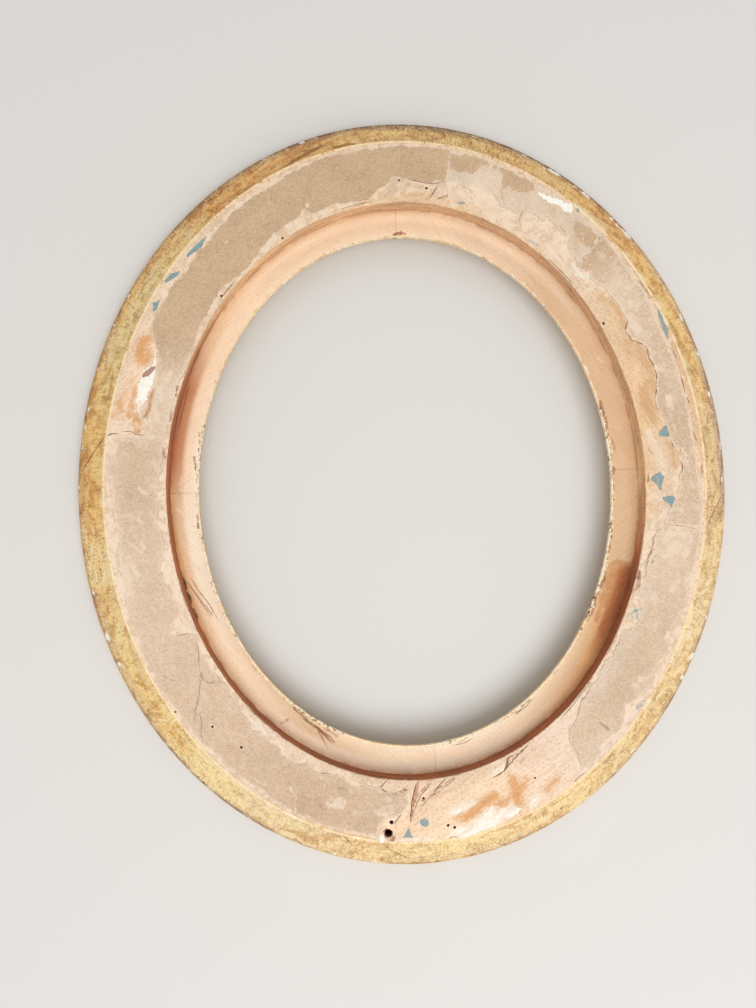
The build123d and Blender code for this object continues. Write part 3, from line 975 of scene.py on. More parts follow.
def tornSheet(name, loops, settings, material):
    outers = [loop for loop in loops if areaOf(loop) > 0]
    holes = [loop for loop in loops if areaOf(loop) < 0]
    vertices, faces, edgeDistance = [], [], []
    for number, outer in enumerate(outers):
        base = settings["base"] + settings["raised"].get(number, 0.0)
        borders = [raggedLoop(outer[:, :2], settings["edgeGap"], settings["ragged"],
                              settings["seed"] + number, settings["joints"])]
        borders += [raggedLoop(hole[:, :2], settings["edgeGap"], 0.15, settings["seed"])
                    for hole in holes if insideLoop(hole[:1, :2], outer[:, :2])[0]]
        border = np.concatenate(borders)
        low, high = border.min(axis=0), border.max(axis=0)
        gap = settings["gridGap"]
        columns, lines = np.arange(low[0], high[0], gap), np.arange(low[1], high[1], gap * 0.87)
        grid = np.stack(np.meshgrid(columns, lines), -1)
        grid[1::2, :, 0] += gap / 2
        grid = grid.reshape(-1, 2)
        grid = grid + np.random.default_rng(settings["seed"] + number).uniform(-0.2, 0.2, grid.shape) * gap
        grid = grid[insideBorders(grid, borders)]
        away = nearestDistance(grid, border)
        grid = grid[away > settings["edgeRoom"]]
        edges, at = [], 0
        for loop in borders:
            edges += [(at + k, at + (k + 1) % len(loop)) for k in range(len(loop))]
            at += len(loop)

        def fill(places):
            result = delaunay_2d_cdt([Vector(p) for p in places], edges, [], 0, 1e-6)
            corners = np.array([list(p) for p in result[0]])
            found = np.array([list(face) for face in result[2]])
            return corners, found[insideBorders(corners[found].mean(axis=1), borders)]

        top, topFaces = fill(np.concatenate([border, grid]))
        bottom, bottomFaces = fill(border)
        fromEdge = nearestDistance(top, border)
        fromEdge[:len(border)] = 0
        topPoints = lifted(top, 7.0 * settings["seed"])
        curl = settings["lift"] * smooth(fractal(topPoints, 7.0, settings["seed"] + 3), 0.1, 0.9)
        feather = smooth(fractal(topPoints, 5.0, settings["seed"] + 4), -0.2, 0.6)
        near = np.exp(-fromEdge / settings["curlReach"])
        thin = settings["thickness"] * (1 - 0.65 * feather * np.exp(-fromEdge / 0.5))
        cockle = settings["cockle"] * (0.5 + 0.5 * fractal(topPoints, 11.0, settings["seed"] + 5)) * (
            1 - np.exp(-fromEdge / 2.0))
        topZ = base + thin + curl * near + cockle
        bottomZ = base + (curl * near)[:len(bottom)] * 0.9
        start = len(vertices)
        vertices += [tuple(p) for p in np.column_stack([top, topZ]) * mm]
        vertices += [tuple(p) for p in np.column_stack([bottom, bottomZ]) * mm]
        edgeDistance += list(fromEdge) + [0.0] * len(bottom)
        under = start + len(top)
        faces += [tuple(int(v) + start for v in face) for face in topFaces]
        faces += [tuple(int(v) + under for v in face[::-1]) for face in bottomFaces]
        for a, b in edges:
            faces.append((start + b, start + a, under + a, under + b))
    piece = meshObject(name, vertices, faces, material)
    closeUp(piece.data, 40)
    return piece, np.array(edgeDistance)


# The main ring
mainRing = {
    "columns": 480,
    "rowGap": 0.75,
    "hiddenGap": 4.0,
    "hollows": 0.12,          # unevenness of the planed back
    "arrisWear": 0.45,        # how far the recess's edge is chipped
    "arris": 0.25,            # bevel of the recess's edge
    "noiseLevel": 40,         # keeps its noise apart from that of the other pieces
    "variation": (0.06, 14.0, 11),     # how much the tone varies, over what length, and the noise's seed
    "tones": {
        -1: "0 woodTan, 45 wallTan, 135 wallTan, 150 rust, 250 rust, 322 rust, 340 rust, 346 woodRed",
        -.12: "0 wallTan, 90 wallTan, 135 woodTan, 165 woodRed, 215 woodRed, 250 rust, 340 rust, 346 woodRed",
        0: "0 woodTan, 20 woodTan, 45 woodDull, 90 woodTan, 135 woodDull, 180 woodPink, 225 woodPink, "
           "258 woodDull, 285 woodDull, 303 woodPink, 340 woodDull",
        .3: "0 woodDull, 14 woodTan, 30 woodTan, 50 woodPink, 70 woodPink, 90 woodDull, 156 woodDull, "
            "200 woodPink, 262 woodDull, 285 woodPeach, 303 woodPink",
        .7: "0 woodTan, 30 woodDull, 156 woodPeach, 200 woodPink, 265 woodPeach, 290 woodPeach, "
            "303 woodPink, 345 woodDull",
        1: "0 woodTan, 20 ledgeTan, 105 ledgeTan, 140 woodDull, 165 woodPink, 200 woodPink, 240 woodDull, "
           "262 ledgeTan, 270 woodPeach, 285 woodPeach, 305 woodPink, 335 woodDull",
    },
    "wear": rows("0 .5, 12 .1, 35 .3, 50 .7, 75 .6, 88 .5, 100 .7, 140 .5, 156 .2, 172 .8, 200 .7, 240 .4, "
                 "262 .4, 275 .3, 290 0, 303 .4, 330 .7, 350 .8"),
    "washes": marks(  # soft stains and thin paint
        "tanStain .75, 11.5 .25 1.8, 14 .22 3, 17 .2 2.6, 19 .3 1.6",
        "tanStain .7, 17 .38 1.6, 20 .42 2.3, 24 .4 2.2, 27.5 .36 1.7", "tanStain .6, 25 .22 1.4, 28 .24 1.4",
        "tanStain .6, 30.5 .36 1.6, 34.5 .38 1.3, 38 .26 1.6", "tanStain .6, 2.6 .5 1, 6.6 .46 1.5",
        "residue .8, 3 .3 1.5, 6 .22 2.1, 9 .14 2.1",
        "amber .95, 279 .68 1.6, 281.4 .62 2.6, 284 .55 2.3, 286.4 .5 1.4",
        "amber .9, 285.8 .62 1.6, 287.8 .68 2.2", "amber .95, 290.1 .74 1.6, 290.6 .56 2.9, 291 .36 1.6",
        "amber .75, 291.5 .58 2, 293.6 .49 1.2", "amber .7, 296.3 .8 1.3, 298.9 .76 1.3",
        "amber .6, 277.3 .67 1, 278.6 .61 .9", "amber .6, 289.8 .9 .9, 290.6 .8 1.3",
        "amberDark .8, 283.4 .55 .8, 285.6 .5 .8",
        "white .95, 275.5 .985 .8, 278.5 .97 1.5, 281.5 .93 2, 284.2 .88 2.4, 286.4 .84 1.2, 289.5 .86 .8",
        "white .9, 281 .85 1, 283.8 .76 1.6, 285.2 .67 .8", "white .75, 276.4 .87 .9, 278.6 .88 1.2",
        "chalk .85, 276.6 .58 .6, 279 .54 1.2, 281.6 .5 .8", "white .7, 292.4 .88 .8, 294 .8 .8",
        "white .65, 286.6 .78 .8, 288.8 .73 .7", "chalk .75, 262 .95 .8, 266 .97 .9, 272 .96 1",
        "amber .95, 151.8 .74 1.2, 153.1 .8 2.6, 154.6 .8 2.4, 156.2 .76 1.6",
        "amber .8, 154.2 .66 1.6, 156 .66 1.2", "amber .7, 163.6 .88 1.5, 165.2 .84 1.7, 166.3 .93 .9",
        "peachStain .5, 160 .8 2, 163 .8 2", "residue .8, 181 .93 1.2, 185 .88 1.6, 188 .9 1"),
    "patches": marks(
        "chalk .85, 42.6 .36 .5, 43 .28 1.3, 44.8 .2 1.5, 46.6 .25 1.1",
        "residue .8, 46 .1 1.6, 50 .12 1.8, 53 .2 1.4", "residue .6, 64 .16 1.6, 68 .2 1.8, 72 .24 1.4",
        "greyBlue .6, 55.6 .08 .8, 57.4 .07 .8", "rust .7 .12, 0 .04 .7, .6 .05 .5, 1.8 .05 .35",
        "umber .7 .15, 359.8 .02 .5, .6 .02 .4", "rust .8 .15, 78.7 .18 .6, 79.6 .14 .9, 80.6 .11 .5",
        "tanStain .55, 81.3 .28 .8, 82.4 .14 1.1, 83.4 .06 .8",
        "tanStain .6, 84.2 .15 .9, 86 .12 .9, 88.6 .1 .8", "tanStain .5, 84.5 .27 1, 88 .3 1",
        "residue .9, 84.6 .2 .6, 86.6 .22 .7, 88 .19 .5", "pinkBrown .6, 148 .01 .4, 156 .01 .5",
        "amber .85, 160.5 .69 .6, 163 .69 1.3, 165.8 .68 1.7",
        "amber .85, 165.4 .59 1.1, 167 .55 2.5, 168.2 .51 1.6",
        "amberDark .8, 159.7 .4 .4, 161.6 .41 1, 164 .4 .9, 165.5 .45 .9",
        "rust .85 .15, 158.1 .05 .5, 159 .05 .7, 160 .02 .5", "pinkBrown .85 .1, 163.4 .04 .6, 165.2 .03 .6",
        "pinkBrown .85 .12, 170.6 .05 .5, 171.6 .06 .8, 172.8 .02 .6",
        "paperPale .8, 169.6 .3 .8, 169.8 .6 1, 170.2 .84 1.6",
        "paperPale .75, 171 .86 1.8, 173.6 .92 1.6, 177 .94 1.2",
        "residue .7, 197.5 .1 1.3, 202 .08 1.2, 205 .18 1.6", "chalk .6, 228.4 .12 1, 231 .1 1.4, 233 .12 1",
        "woodRed .9 .15, 268.25 .66 .25, 268.5 .54 .6, 268.8 .4 .8, 269.2 .27 1, 269.7 .13 .7, 270.2 .02 .4",
        "rust .8 .15, 269.4 .28 .4, 270.4 .2 .5, 271.5 .12 .6, 272.9 .03 .4",
        "woodRed .8 .1, 270.2 .4 .3, 270.9 .33 .8, 271.7 .28 .5, 273.4 .22 .3",
        "woodRed .8 .1, 273.9 .17 .5, 275.2 .13 .8", "woodRed .7 .1, 276.4 .1 .6, 278.6 .03 .4",
        "tanStain .5, 272.6 .3 .8, 275 .26 1, 278 .2 .8",
        "umber .75 .1, 265.9 .19 .4, 266.8 .15 .9, 267.9 .15 .45",
        "rust .85 .25, 263.5 .8 1.4, 264 .88 2.6, 264.8 .93 1.6",
        "tanStain .6, 265 .74 .7, 265.8 .62 .6, 266.4 .54 .5",
        "chalk .75, 286.8 .2 .4, 288.2 .16 1.2, 289.8 .15 1.1, 290.6 .12 .6",
        "rust .6 .1, 291.1 .12 .8, 292.2 .06 1, 294 .05 .6", "dust .75, 294.2 .21 .9, 294.9 .17 .9",
        "residue .7, 300.5 .5 1.6, 303 .42 1.4", "rust .9 .25, 337.6 .03 .4, 339 .07 1, 341.8 .04 .8",
        "umber .9 .2, 338.6 .05 .5, 341 .035 .45", "pinkBrown .6, 322 .02 .3, 328 .03 .4",
        "residue .9, 344 .05 1, 348 .08 1.2, 352 .14 1.4"),
    "seams": marks(
        ".3 .95, 268.1 .68, 268.3 .5, 268.5 .35, 269 .2, 269.5 .08, 270.1 0",
        ".22 .85, 268.7 .56, 269.6 .36, 270.6 .24, 272.2 .12, 273.4 .02",
        ".2 .8, 270.1 .44, 271 .38, 272.6 .27, 275.6 .19", ".22 .85, 273.2 .21, 274.6 .13, 276 .05, 277 .01",
        ".18 .7, 275 .17, 276.8 .13, 279.2 .03", ".26 .8, 264.9 .7, 265.6 .6, 266.5 .52",
        ".24 .9, 261 .14, 261.6 .12, 262.2 .06, 262.9 .01",
        ".22 .8, 260.8 .14, 262.6 .19, 264.5 .235, 265.8 .19, 266.5 .15",
        ".3 .95, 286.1 .235, 288.3 .22, 290 .205, 291.3 .16, 292.6 .12, 295 .06, 297.4 .03",
        ".28 .9, 289.8 .21, 291 .13, 291.7 .05, 293 .03", ".22 .8, 290.8 .18, 292.5 .12, 295 .075, 298 .03",
        ".2 .7, 275.2 1, 275.8 .95, 277.7 .97", ".2 .7, 277.1 .97, 278.7 .945",
        ".24 .6, 301.3 .95, 303 .94, 304.4 .945", ".2 .7, 5 .17, 6 .12, 7 .08",
        ".2 .7, 359.6 .57, 1.2 .6, 2 .62, 3.2 .605", ".24 .7, 5.8 .5, 7.4 .49",
        ".24 .8, 13.1 .42, 13.7 .36, 15 .36, 16.2 .4, 18.4 .48", ".26 .8, 18.2 .48, 21 .52, 23 .48, 25.2 .52",
        ".24 .8, 25.5 .51, 26.3 .44, 26.9 .39", ".22 .7, 27 .35, 28.6 .33, 30 .34, 31.2 .43",
        ".24 .8, .8 .94, 2.6 .93", ".24 .8, 6.4 .9, 8 .87", ".26 .8, 12.9 .89, 14.2 .87",
        ".24 .8, 14.8 .87, 18.2 .88", ".22 .7, 20.8 .9, 22.8 .9", ".2 .6, 33 .95, 36 .94",
        ".2 .7, 81 .32, 81.8 .2, 82.7 .07", ".2 .75, 79.6 .4, 81 .36, 82.6 .33, 85 .34, 88 .385",
        ".22 .8, 132.5 .04, 135 .05, 138.6 .05", ".24 .85, 169.8 1, 169.3 .9, 169.1 .8",
        ".22 .8, 168.7 .76, 168.4 .62, 168.8 .5, 168.6 .38",
        ".18 .7, 157.8 .07, 158.6 .07, 159.8 .05, 160.4 .01", ".2 .6, 96 .05, 100 .04, 104 .05",
        ".2 .6, 226 .02, 236 .01", ".2 .7, 305.4 .06, 312 .03, 318 .02", ".2 .7, 43.5 .03, 47 .02, 52 .03",
        ".2 .7, 344 .1, 347 .17, 349 .16, 351 .24"),
    "holes": rows(  # angle, across, radius and depth of each hole
        "264 .85 2 12, 264.4 .67 1 6, 83.5 .25 .7 1.5, 137.4 .07 .6 1.5, 33.4 .06 .7 1.5, 275.7 .76 .7 4, "
        "276.9 .81 .7 4, 271.1 .29 .6 2, 230.7 .53 .6 2, 224 .63 .6 2, 217.6 .94 .6 2, 89.7 .36 .6 1.5, "
        "118.9 .04 .6 1.5, 295.3 .54 .5 1.3"),
    "holeSides": 20,
    "holeMouth": 1.2,         # how deep the worn mouth of a hole is
    "holeWidths": (0.75, 1.0, 1.25),   # at the bottom, under the mouth and above the back
}
rimWood = roundOff(filletOuter, rimRadius, rimRadius - coat, bevelNormal, -math.pi / 2, 16)
mainSection = (
    spaced([(rebate + mainRing["arris"], depth), (back - bevelRun, depth)], mainRing["rowGap"])
    + spaced([rimWood[0]] + rimWood[1:], mainRing["hiddenGap"])
    + [(filletInner + coat, coat), (filletInner + coat, quirkDepth + coat)]
    + scoop(coat, scoopStart(coat), lap, 8)
    + spaced([(lap, seatZ), (rebate, seatZ)], mainRing["hiddenGap"])
    + spaced([(rebate, seatZ), (rebate, depth - mainRing["arris"])], mainRing["rowGap"])[1:]
    + [(rebate + mainRing["arris"], depth)])


def drill(piece, holes):
    # Rough round holes, a little wider at the mouth
    vertices, faces = [], []
    sides = mainRing["holeSides"]
    rough = np.random.default_rng(31)
    for angle, across, radius, holeDepth in holes:
        middle = flatPlace(angle, across)
        worn = radius * (1 + 0.07 * rough.standard_normal(sides))
        turns = np.arange(sides) * 2 * math.pi / sides
        base = len(vertices)
        heights = (depth - holeDepth, depth - mainRing["holeMouth"], depth + 1)
        for height, grow in zip(heights, mainRing["holeWidths"]):
            for turn, size in zip(turns, worn):
                vertices.append(((middle[0] + math.cos(turn) * size * grow) * mm,
                                 (middle[1] + math.sin(turn) * size * grow) * mm, height * mm))
        for ring in range(2):
            for k in range(sides):
                a, b = base + ring * sides + k, base + ring * sides + (k + 1) % sides
                faces.append((a, b, b + sides, a + sides))
        faces.append([base + k for k in range(sides)][::-1])
        faces.append([base + 2 * sides + k for k in range(sides)])
    cutter = meshObject("holeCutter", vertices, faces, bareWood)
    modifier = piece.modifiers.new("holes", "BOOLEAN")
    modifier.operation = "DIFFERENCE"
    modifier.solver = "EXACT"
    modifier.object = cutter
    applied(piece)
    bpy.data.objects.remove(cutter, do_unlink=True)


sheetPlaces = ("lower_right", "upper_right", "upper_left", "lower_left")
sheetNodes = ["backing_paper_" + place for place in sheetPlaces] + ["under_paper_upper_right"]
paperEdges = np.concatenate([raggedLoop(loop[:, :2], 1.0, 0.0, 0)
                             for name in sheetNodes for loop in topOutlines(name)])
for place in quarters:
    name = "main_segment_" + place
    piece = quarterRing("mainWood_" + place, mainSection, place, "scarf", mainRing["columns"], bareWood)
    low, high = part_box(name)
    inside = []
    for hole in mainRing["holes"]:
        spot = flatPlace(hole[0], hole[1]) * mm
        if low.x < spot[0] < high.x and low.y < spot[1] < high.y:
            inside.append(hole)
    if inside:
        drill(piece, inside)
    mesh, points, angle, reach = survey(piece)
    normals = readNormals(mesh)
    across = acrossOf(reach, points[:, 2])
    flat = flatPlace(angle, across)
    flatPoints = lifted(flat, mainRing["noiseLevel"])
    onBack = (points[:, 2] > depth - 0.02) & (reach < back - bevelRun + 0.01)
    onWall = (np.abs(reach - rebate) < 0.3) & (points[:, 2] > seatZ + 0.1)
    inHole = ((reach > rebate + 1) & (reach < back - 2)
              & (points[:, 2] < depth - 0.03) & (points[:, 2] > depth - 13))
    # Broad tone, streaks on the wall, glue stain along the recess and a dark line at its worn edge
    tint = varied(paintTones(angle, across, mainRing["tones"]), flatPoints, *mainRing["variation"])
    streakPoints = np.column_stack([angle * 0.5, points[:, 2] * 1.6, np.full(len(angle), 5.0)])
    tint[onWall] *= (1.05 + 0.35 * fractal(streakPoints[onWall], cell=2.2, seed=18))[:, None]
    spread = np.exp(-np.maximum(across, 0) / 0.05) * patchy(flatPoints, 6.0, 22, -0.1, 0.8) * (across > 0)
    blend(tint, "woodTan", spread * 0.45)
    paint = newPaint(tint, flat)
    edge = 1.2 - np.abs(across - 0.004) / 0.012 + 1.1 * fractal(flatPoints, cell=3.0, seed=21)
    paint["patch"][:] = np.where((edge > 0)[:, None], tint + (linear("rust") - tint) * 0.7, tint)
    paint["cover"] = np.maximum(paint["cover"], np.clip(edge * 0.5, -0.6, 0.9))
    addPatches(paint, mainRing["washes"], seed=800, soft=2.3)
    addPatches(paint, mainRing["patches"])
    addSeams(paint, mainRing["seams"])
    # Inside each hole the wood darkens from rust to near black with depth: painted shade of the hole
    for layer in ("tint", "patch"):
        share = smooth(depth - points[inHole, 2], 0.2, 3.5)[:, None]
        paint[layer][inHole] = linear("rust") + (linear("soot") - linear("rust")) * share
    # Planing marks and hollows stay below the back's plane; the recess's edge is chipped
    hollow = mainRing["hollows"] * (0.5 + 0.5 * fractal(flatPoints, cell=9.0, seed=12)) + paint["relief"]
    chips = smooth(fractal(flatPoints, cell=2.2, seed=13), 0.15, 0.7) * np.exp(-np.abs(reach - rebate) / 0.8)
    points[:, 2] -= np.where(onBack, np.clip(hollow, 0, 0.6) + mainRing["arrisWear"] * chips, 0)
    waver = 0.15 * fractal(flatPoints, cell=5.0, seed=14) + 0.25 * chips
    push = np.where(onWall, -np.clip(waver, -0.05, 0.45), 0)
    points += normals * push[:, None]
    nearPaper = np.full(len(points), 9.0)
    nearPaper[onBack] = nearestDistance(points[onBack, :2], paperEdges)
    storePaint(mesh, points, paint)
    wear = roundOval(angle, mainRing["wear"]) + 0.9 * np.exp(-nearPaper / 1.6) - 0.3
    keep(mesh, "wear", np.where(onBack, wear, -0.9))
    keep(mesh, "grain", grainOf(points, place))
    dress(piece, "bare_wood", name)
print("main ring made")


# The sight ring, let into the main ring from the front
sightRing = {
    "columns": 440,
    "rowGap": 0.6,
    "hiddenGap": 4.0,
    "turningMarks": 0.05,
    "noiseLevel": 80,
    "fleckLevel": 60,
    "variation": (0.04, 12.0, 15),
    # The reds towards the ledge's corner from 150 to 180 degrees are partly painted shade from the wall
    "tones": {
        -2: "0 ledgeTan, 45 ledgeTan, 75 woodPeach, 150 woodPeach, 175 cream, 200 woodPink, 235 ledgeTan, "
            "250 woodPeach, 280 cream, 300 woodCream, 322 woodTan, 345 ledgeTan",
        -1.55: "0 ledgeTan, 45 ledgeTan, 62 woodDull, 82 ledgePeach, 120 ledgePeach, 140 woodPeach, "
               "175 woodPeach, 190 cream, 225 woodPeach, 242 ledgeTan, 262 woodPeach, 295 woodPeach, "
               "318 ledgeTan, 330 woodOrange, 341 woodOrange, 344 ledgeTan",
        -1.3: "0 ledgeTan, 30 ledgeTan, 42 woodDull, 60 woodPeach, 130 woodPeach, 148 woodTan, "
              "157 ledgeRed, 172 ledgeRed, 182 woodBeige, 192 woodTan, 222 woodPeach, 262 woodCream, "
              "288 woodCream, 300 woodPeach, 320 ledgeOrange, 328 stainBrown, 341 stainBrown, 344 woodTan",
        -1: "0 woodTan, 15 woodTan, 45 woodBeige, 75 woodDull, 90 woodTan, 145 woodTan, 158 woodRed, "
            "174 woodRed, 180 woodOrange, 205 woodOrange, 218 woodTan, 245 woodPeach, 290 woodPeach, "
            "300 woodTan, 318 woodOrange, 330 woodRed, 342 woodRed, 344 woodTan",
    },
    "wear": -1.6,
    "patches": marks(
        "stainBrown .5, 326.6 -1.2 1.6, 331 -1.3 3.2, 336 -1.4 4.2, 341.6 -1.4 4.4",
        "rust .5, 331 -1.1 1.6, 336 -1.14 2, 341.8 -1.2 2.4",
        "stainBrown .45 .05, 329 -1.62 1.4, 335 -1.7 1.8, 341.4 -1.72 2",
        "rust .85 .2, 1.2 -1.95 .7, 3 -1.9 1.2, 3.9 -1.93 .8",
        "rust .85 .2, 10.3 -1.92 .45, 13 -1.88 .55, 15.4 -1.84 .7, 17 -1.87 .6",
        "rust .85 .25, 15.4 -1.94 .8, 18.8 -1.9 1",
        "rust .9 .25, 87.4 -1.9 .6, 89.4 -1.85 1.1, 91.2 -1.88 .6",
        "umber .8 .2, 165.8 -1.84 .35, 168 -1.9 .5",
        "umber .85 .25, 171.4 -1.78 .5, 173 -1.87 .7, 174.8 -1.86 .4",
        "umber .8 .2, 182.4 -1.95 .4, 184.2 -1.92 .6, 187 -1.9 .8", "dust .8, 221 -1.9 .8, 222.6 -1.87 .7",
        "rust .75 .15, 235.4 -1.85 .6, 237.4 -1.88 .6, 240 -1.85 .35",
        "rust .85 .2, 242.2 -1.78 .5, 246 -1.69 .9, 248.3 -1.58 .5",
        "rust .75 .15, 244.6 -1.89 .6, 248.5 -1.82 .5", "rust .5, 234.8 -1.15 .7, 235.8 -1.4 .9",
        "cream .9, 238.6 -1.92 .6, 242 -1.95 .6", "pinkBrown .7 .1, 281.2 -1.86 .4, 283.6 -1.9 .6",
        "rust .8 .2, 299 -1.86 .35, 301 -1.9 .5, 303.6 -1.94 .8",
        "rust .9 .25, 328 -1.92 .6, 331 -1.88 .9, 333 -1.93 .6",
        "umber .85 .2, 336 -1.9 .6, 339 -1.86 .8, 341 -1.92 .6",
        "rust .8 .2, 344 -1.93 .5, 348 -1.9 .7, 350 -1.95 .5",
        "soot .95 .3, 196.6 -1.01 .4, 197.8 -1.035 .7, 198.9 -1.01 .4",
        "soot .95 .3, 199.6 -1.01 .4, 200.8 -1.03 .6, 201.9 -1.01 .4",
        "soot .9 .3, 203.2 -1.01 .4, 204.4 -1.02 .5, 205.8 -1.01 .4",
        "woodRed .6, 198 -1.15 .5, 201 -1.3 .7, 206 -1.55 .6", "residue .8, 182.6 -1.25 .8, 183.6 -1.4 .6",
        "residue .7, 26.6 -1.25 .9, 28 -1.4 .7", "residue .6, 176 -1.4 1, 178.6 -1.35 .8",
        "residue .6, 196 -1.6 .8, 198 -1.55 .6"),
    "seams": marks(
        ".3 .8, 236 -1.84, 240 -1.8, 243.6 -1.76, 248.3 -1.48", ".2 .7, 238 -1.75, 243 -1.72, 247.6 -1.27",
        ".22 .7, 196.6 -1.25, 200 -1.4, 204 -1.6, 208 -1.66", ".2 .6, 197.6 -1.12, 202 -1.32, 206.6 -1.5",
        ".2 .6, 280 -1.8, 283 -1.78, 286 -1.83", ".22 .7, 298 -1.83, 302 -1.82, 305 -1.87",
        ".2 .6, 7 -1.74, 9 -1.78, 10.6 -1.8", ".2 .7, 156 -1.06, 160 -1.1, 166 -1.08"),
    "flecks": rows(  # stretches of the sight edge with gold and brown specks, and how strong
        "-12 19 .95, 19 84 .14, 84 92 .75, 92 164 .18, 164 179 .75, 179 216 .55, 216 234 .35, 234 250 .9, "
        "250 272 .15, 272 306 .55, 306 328 .25, 328 348 1"),
}
sightSection = (
    spaced([(lap, seatZ), (rebate, seatZ), (rebate, ledgeZ + 0.02)],
           sightRing["hiddenGap"])
    + spaced([(rebate, ledgeZ), (sight + coat, ledgeZ)], sightRing["rowGap"])
    + spaced(sightMoulding(coat)[::-1], sightRing["hiddenGap"])[1:]
    + scoop(coat, scoopInner, lap, 6)
    + [(lap, seatZ)])


def fleckStrength(angle):
    signed = (angle + 12) % 360 - 12
    strength = np.zeros(len(angle))
    for start, end, value in sightRing["flecks"]:
        span = smooth(signed, start - 1, start + 1) * (1 - smooth(signed, end - 1, end + 1))
        strength = np.maximum(strength, value * span)
    return strength


def addFlecks(paint, angle, fromSight):
    # Brown gouges and bits of cream gesso and gold, thickest at the sight edge
    flatPoints = lifted(paint["flat"], sightRing["fleckLevel"])
    band = (1 - smooth(fromSight, 0.3, 3.2)) * (0.10 + 0.90 * fleckStrength(angle))
    for name, strength, cell, seed, level in (("cream", .9, 2.0, 24, .42), ("fleckGold", .9, 1.5, 25, .55),
                                              ("rust", .8, 1.7, 26, .62), ("umber", .9, 1.2, 27, .70)):
        cover = 0.5 + 1.4 * (band * 0.85 - level + 0.60 * fractal(flatPoints, cell, seed, 3))
        cover -= smooth(fromSight, 1, 3.5)
        wins = cover > np.maximum(paint["cover"] - 0.15, 0.15)
        tint = paint["tint"][wins]
        paint["patch"][wins] = tint + (linear(name) - tint) * strength
        paint["cover"][wins] = np.maximum(paint["cover"][wins], np.clip(cover[wins], -0.6, 1.0))


for place in quarters:
    piece = quarterRing("sightWood_" + place, sightSection, place, "butt", sightRing["columns"], ledgeWood)
    mesh, points, angle, reach = survey(piece)
    across = acrossOf(reach, points[:, 2])
    flat = flatPlace(angle, across)
    flatPoints = lifted(flat, sightRing["noiseLevel"])
    onLedge = (points[:, 2] > ledgeZ - 0.02) & (points[:, 2] < ledgeZ + 0.03) & (reach < rebate + 0.02)
    tint = varied(paintTones(angle, across, sightRing["tones"]), flatPoints, *sightRing["variation"])
    # The ledge's corner is darker: partly old glue and dirt, partly painted shade from the wall
    corner = np.exp(-np.abs(across + 1) / 0.05) * patchy(flatPoints, 7.0, 23, -0.5, 0.4)
    blend(tint, "rust", corner * 0.6)
    paint = newPaint(tint, flat)
    addPatches(paint, sightRing["patches"], seed=1100)
    addFlecks(paint, angle, reach - sight)
    addSeams(paint, sightRing["seams"])
    turns = reach * 5.0 + 0.6 * fractal(flatPoints, cell=20.0, seed=16)
    lathe = sightRing["turningMarks"] * (0.5 + 0.5 * np.sin(turns))
    worn = 0.4 * smooth(fractal(flatPoints, cell=1.8, seed=17), 0.0, 0.6) * np.exp(-np.abs(across + 2) / 0.06)
    points[:, 2] -= np.where(onLedge, lathe + np.clip(paint["relief"], 0, 0.4) + worn, 0)
    storePaint(mesh, points, paint)
    keep(mesh, "wear", np.full(len(angle), sightRing["wear"]))
    keep(mesh, "grain", grainOf(points, place))
    dress(piece, "sight_wood", "sight_segment_" + place)
print("sight ring made")


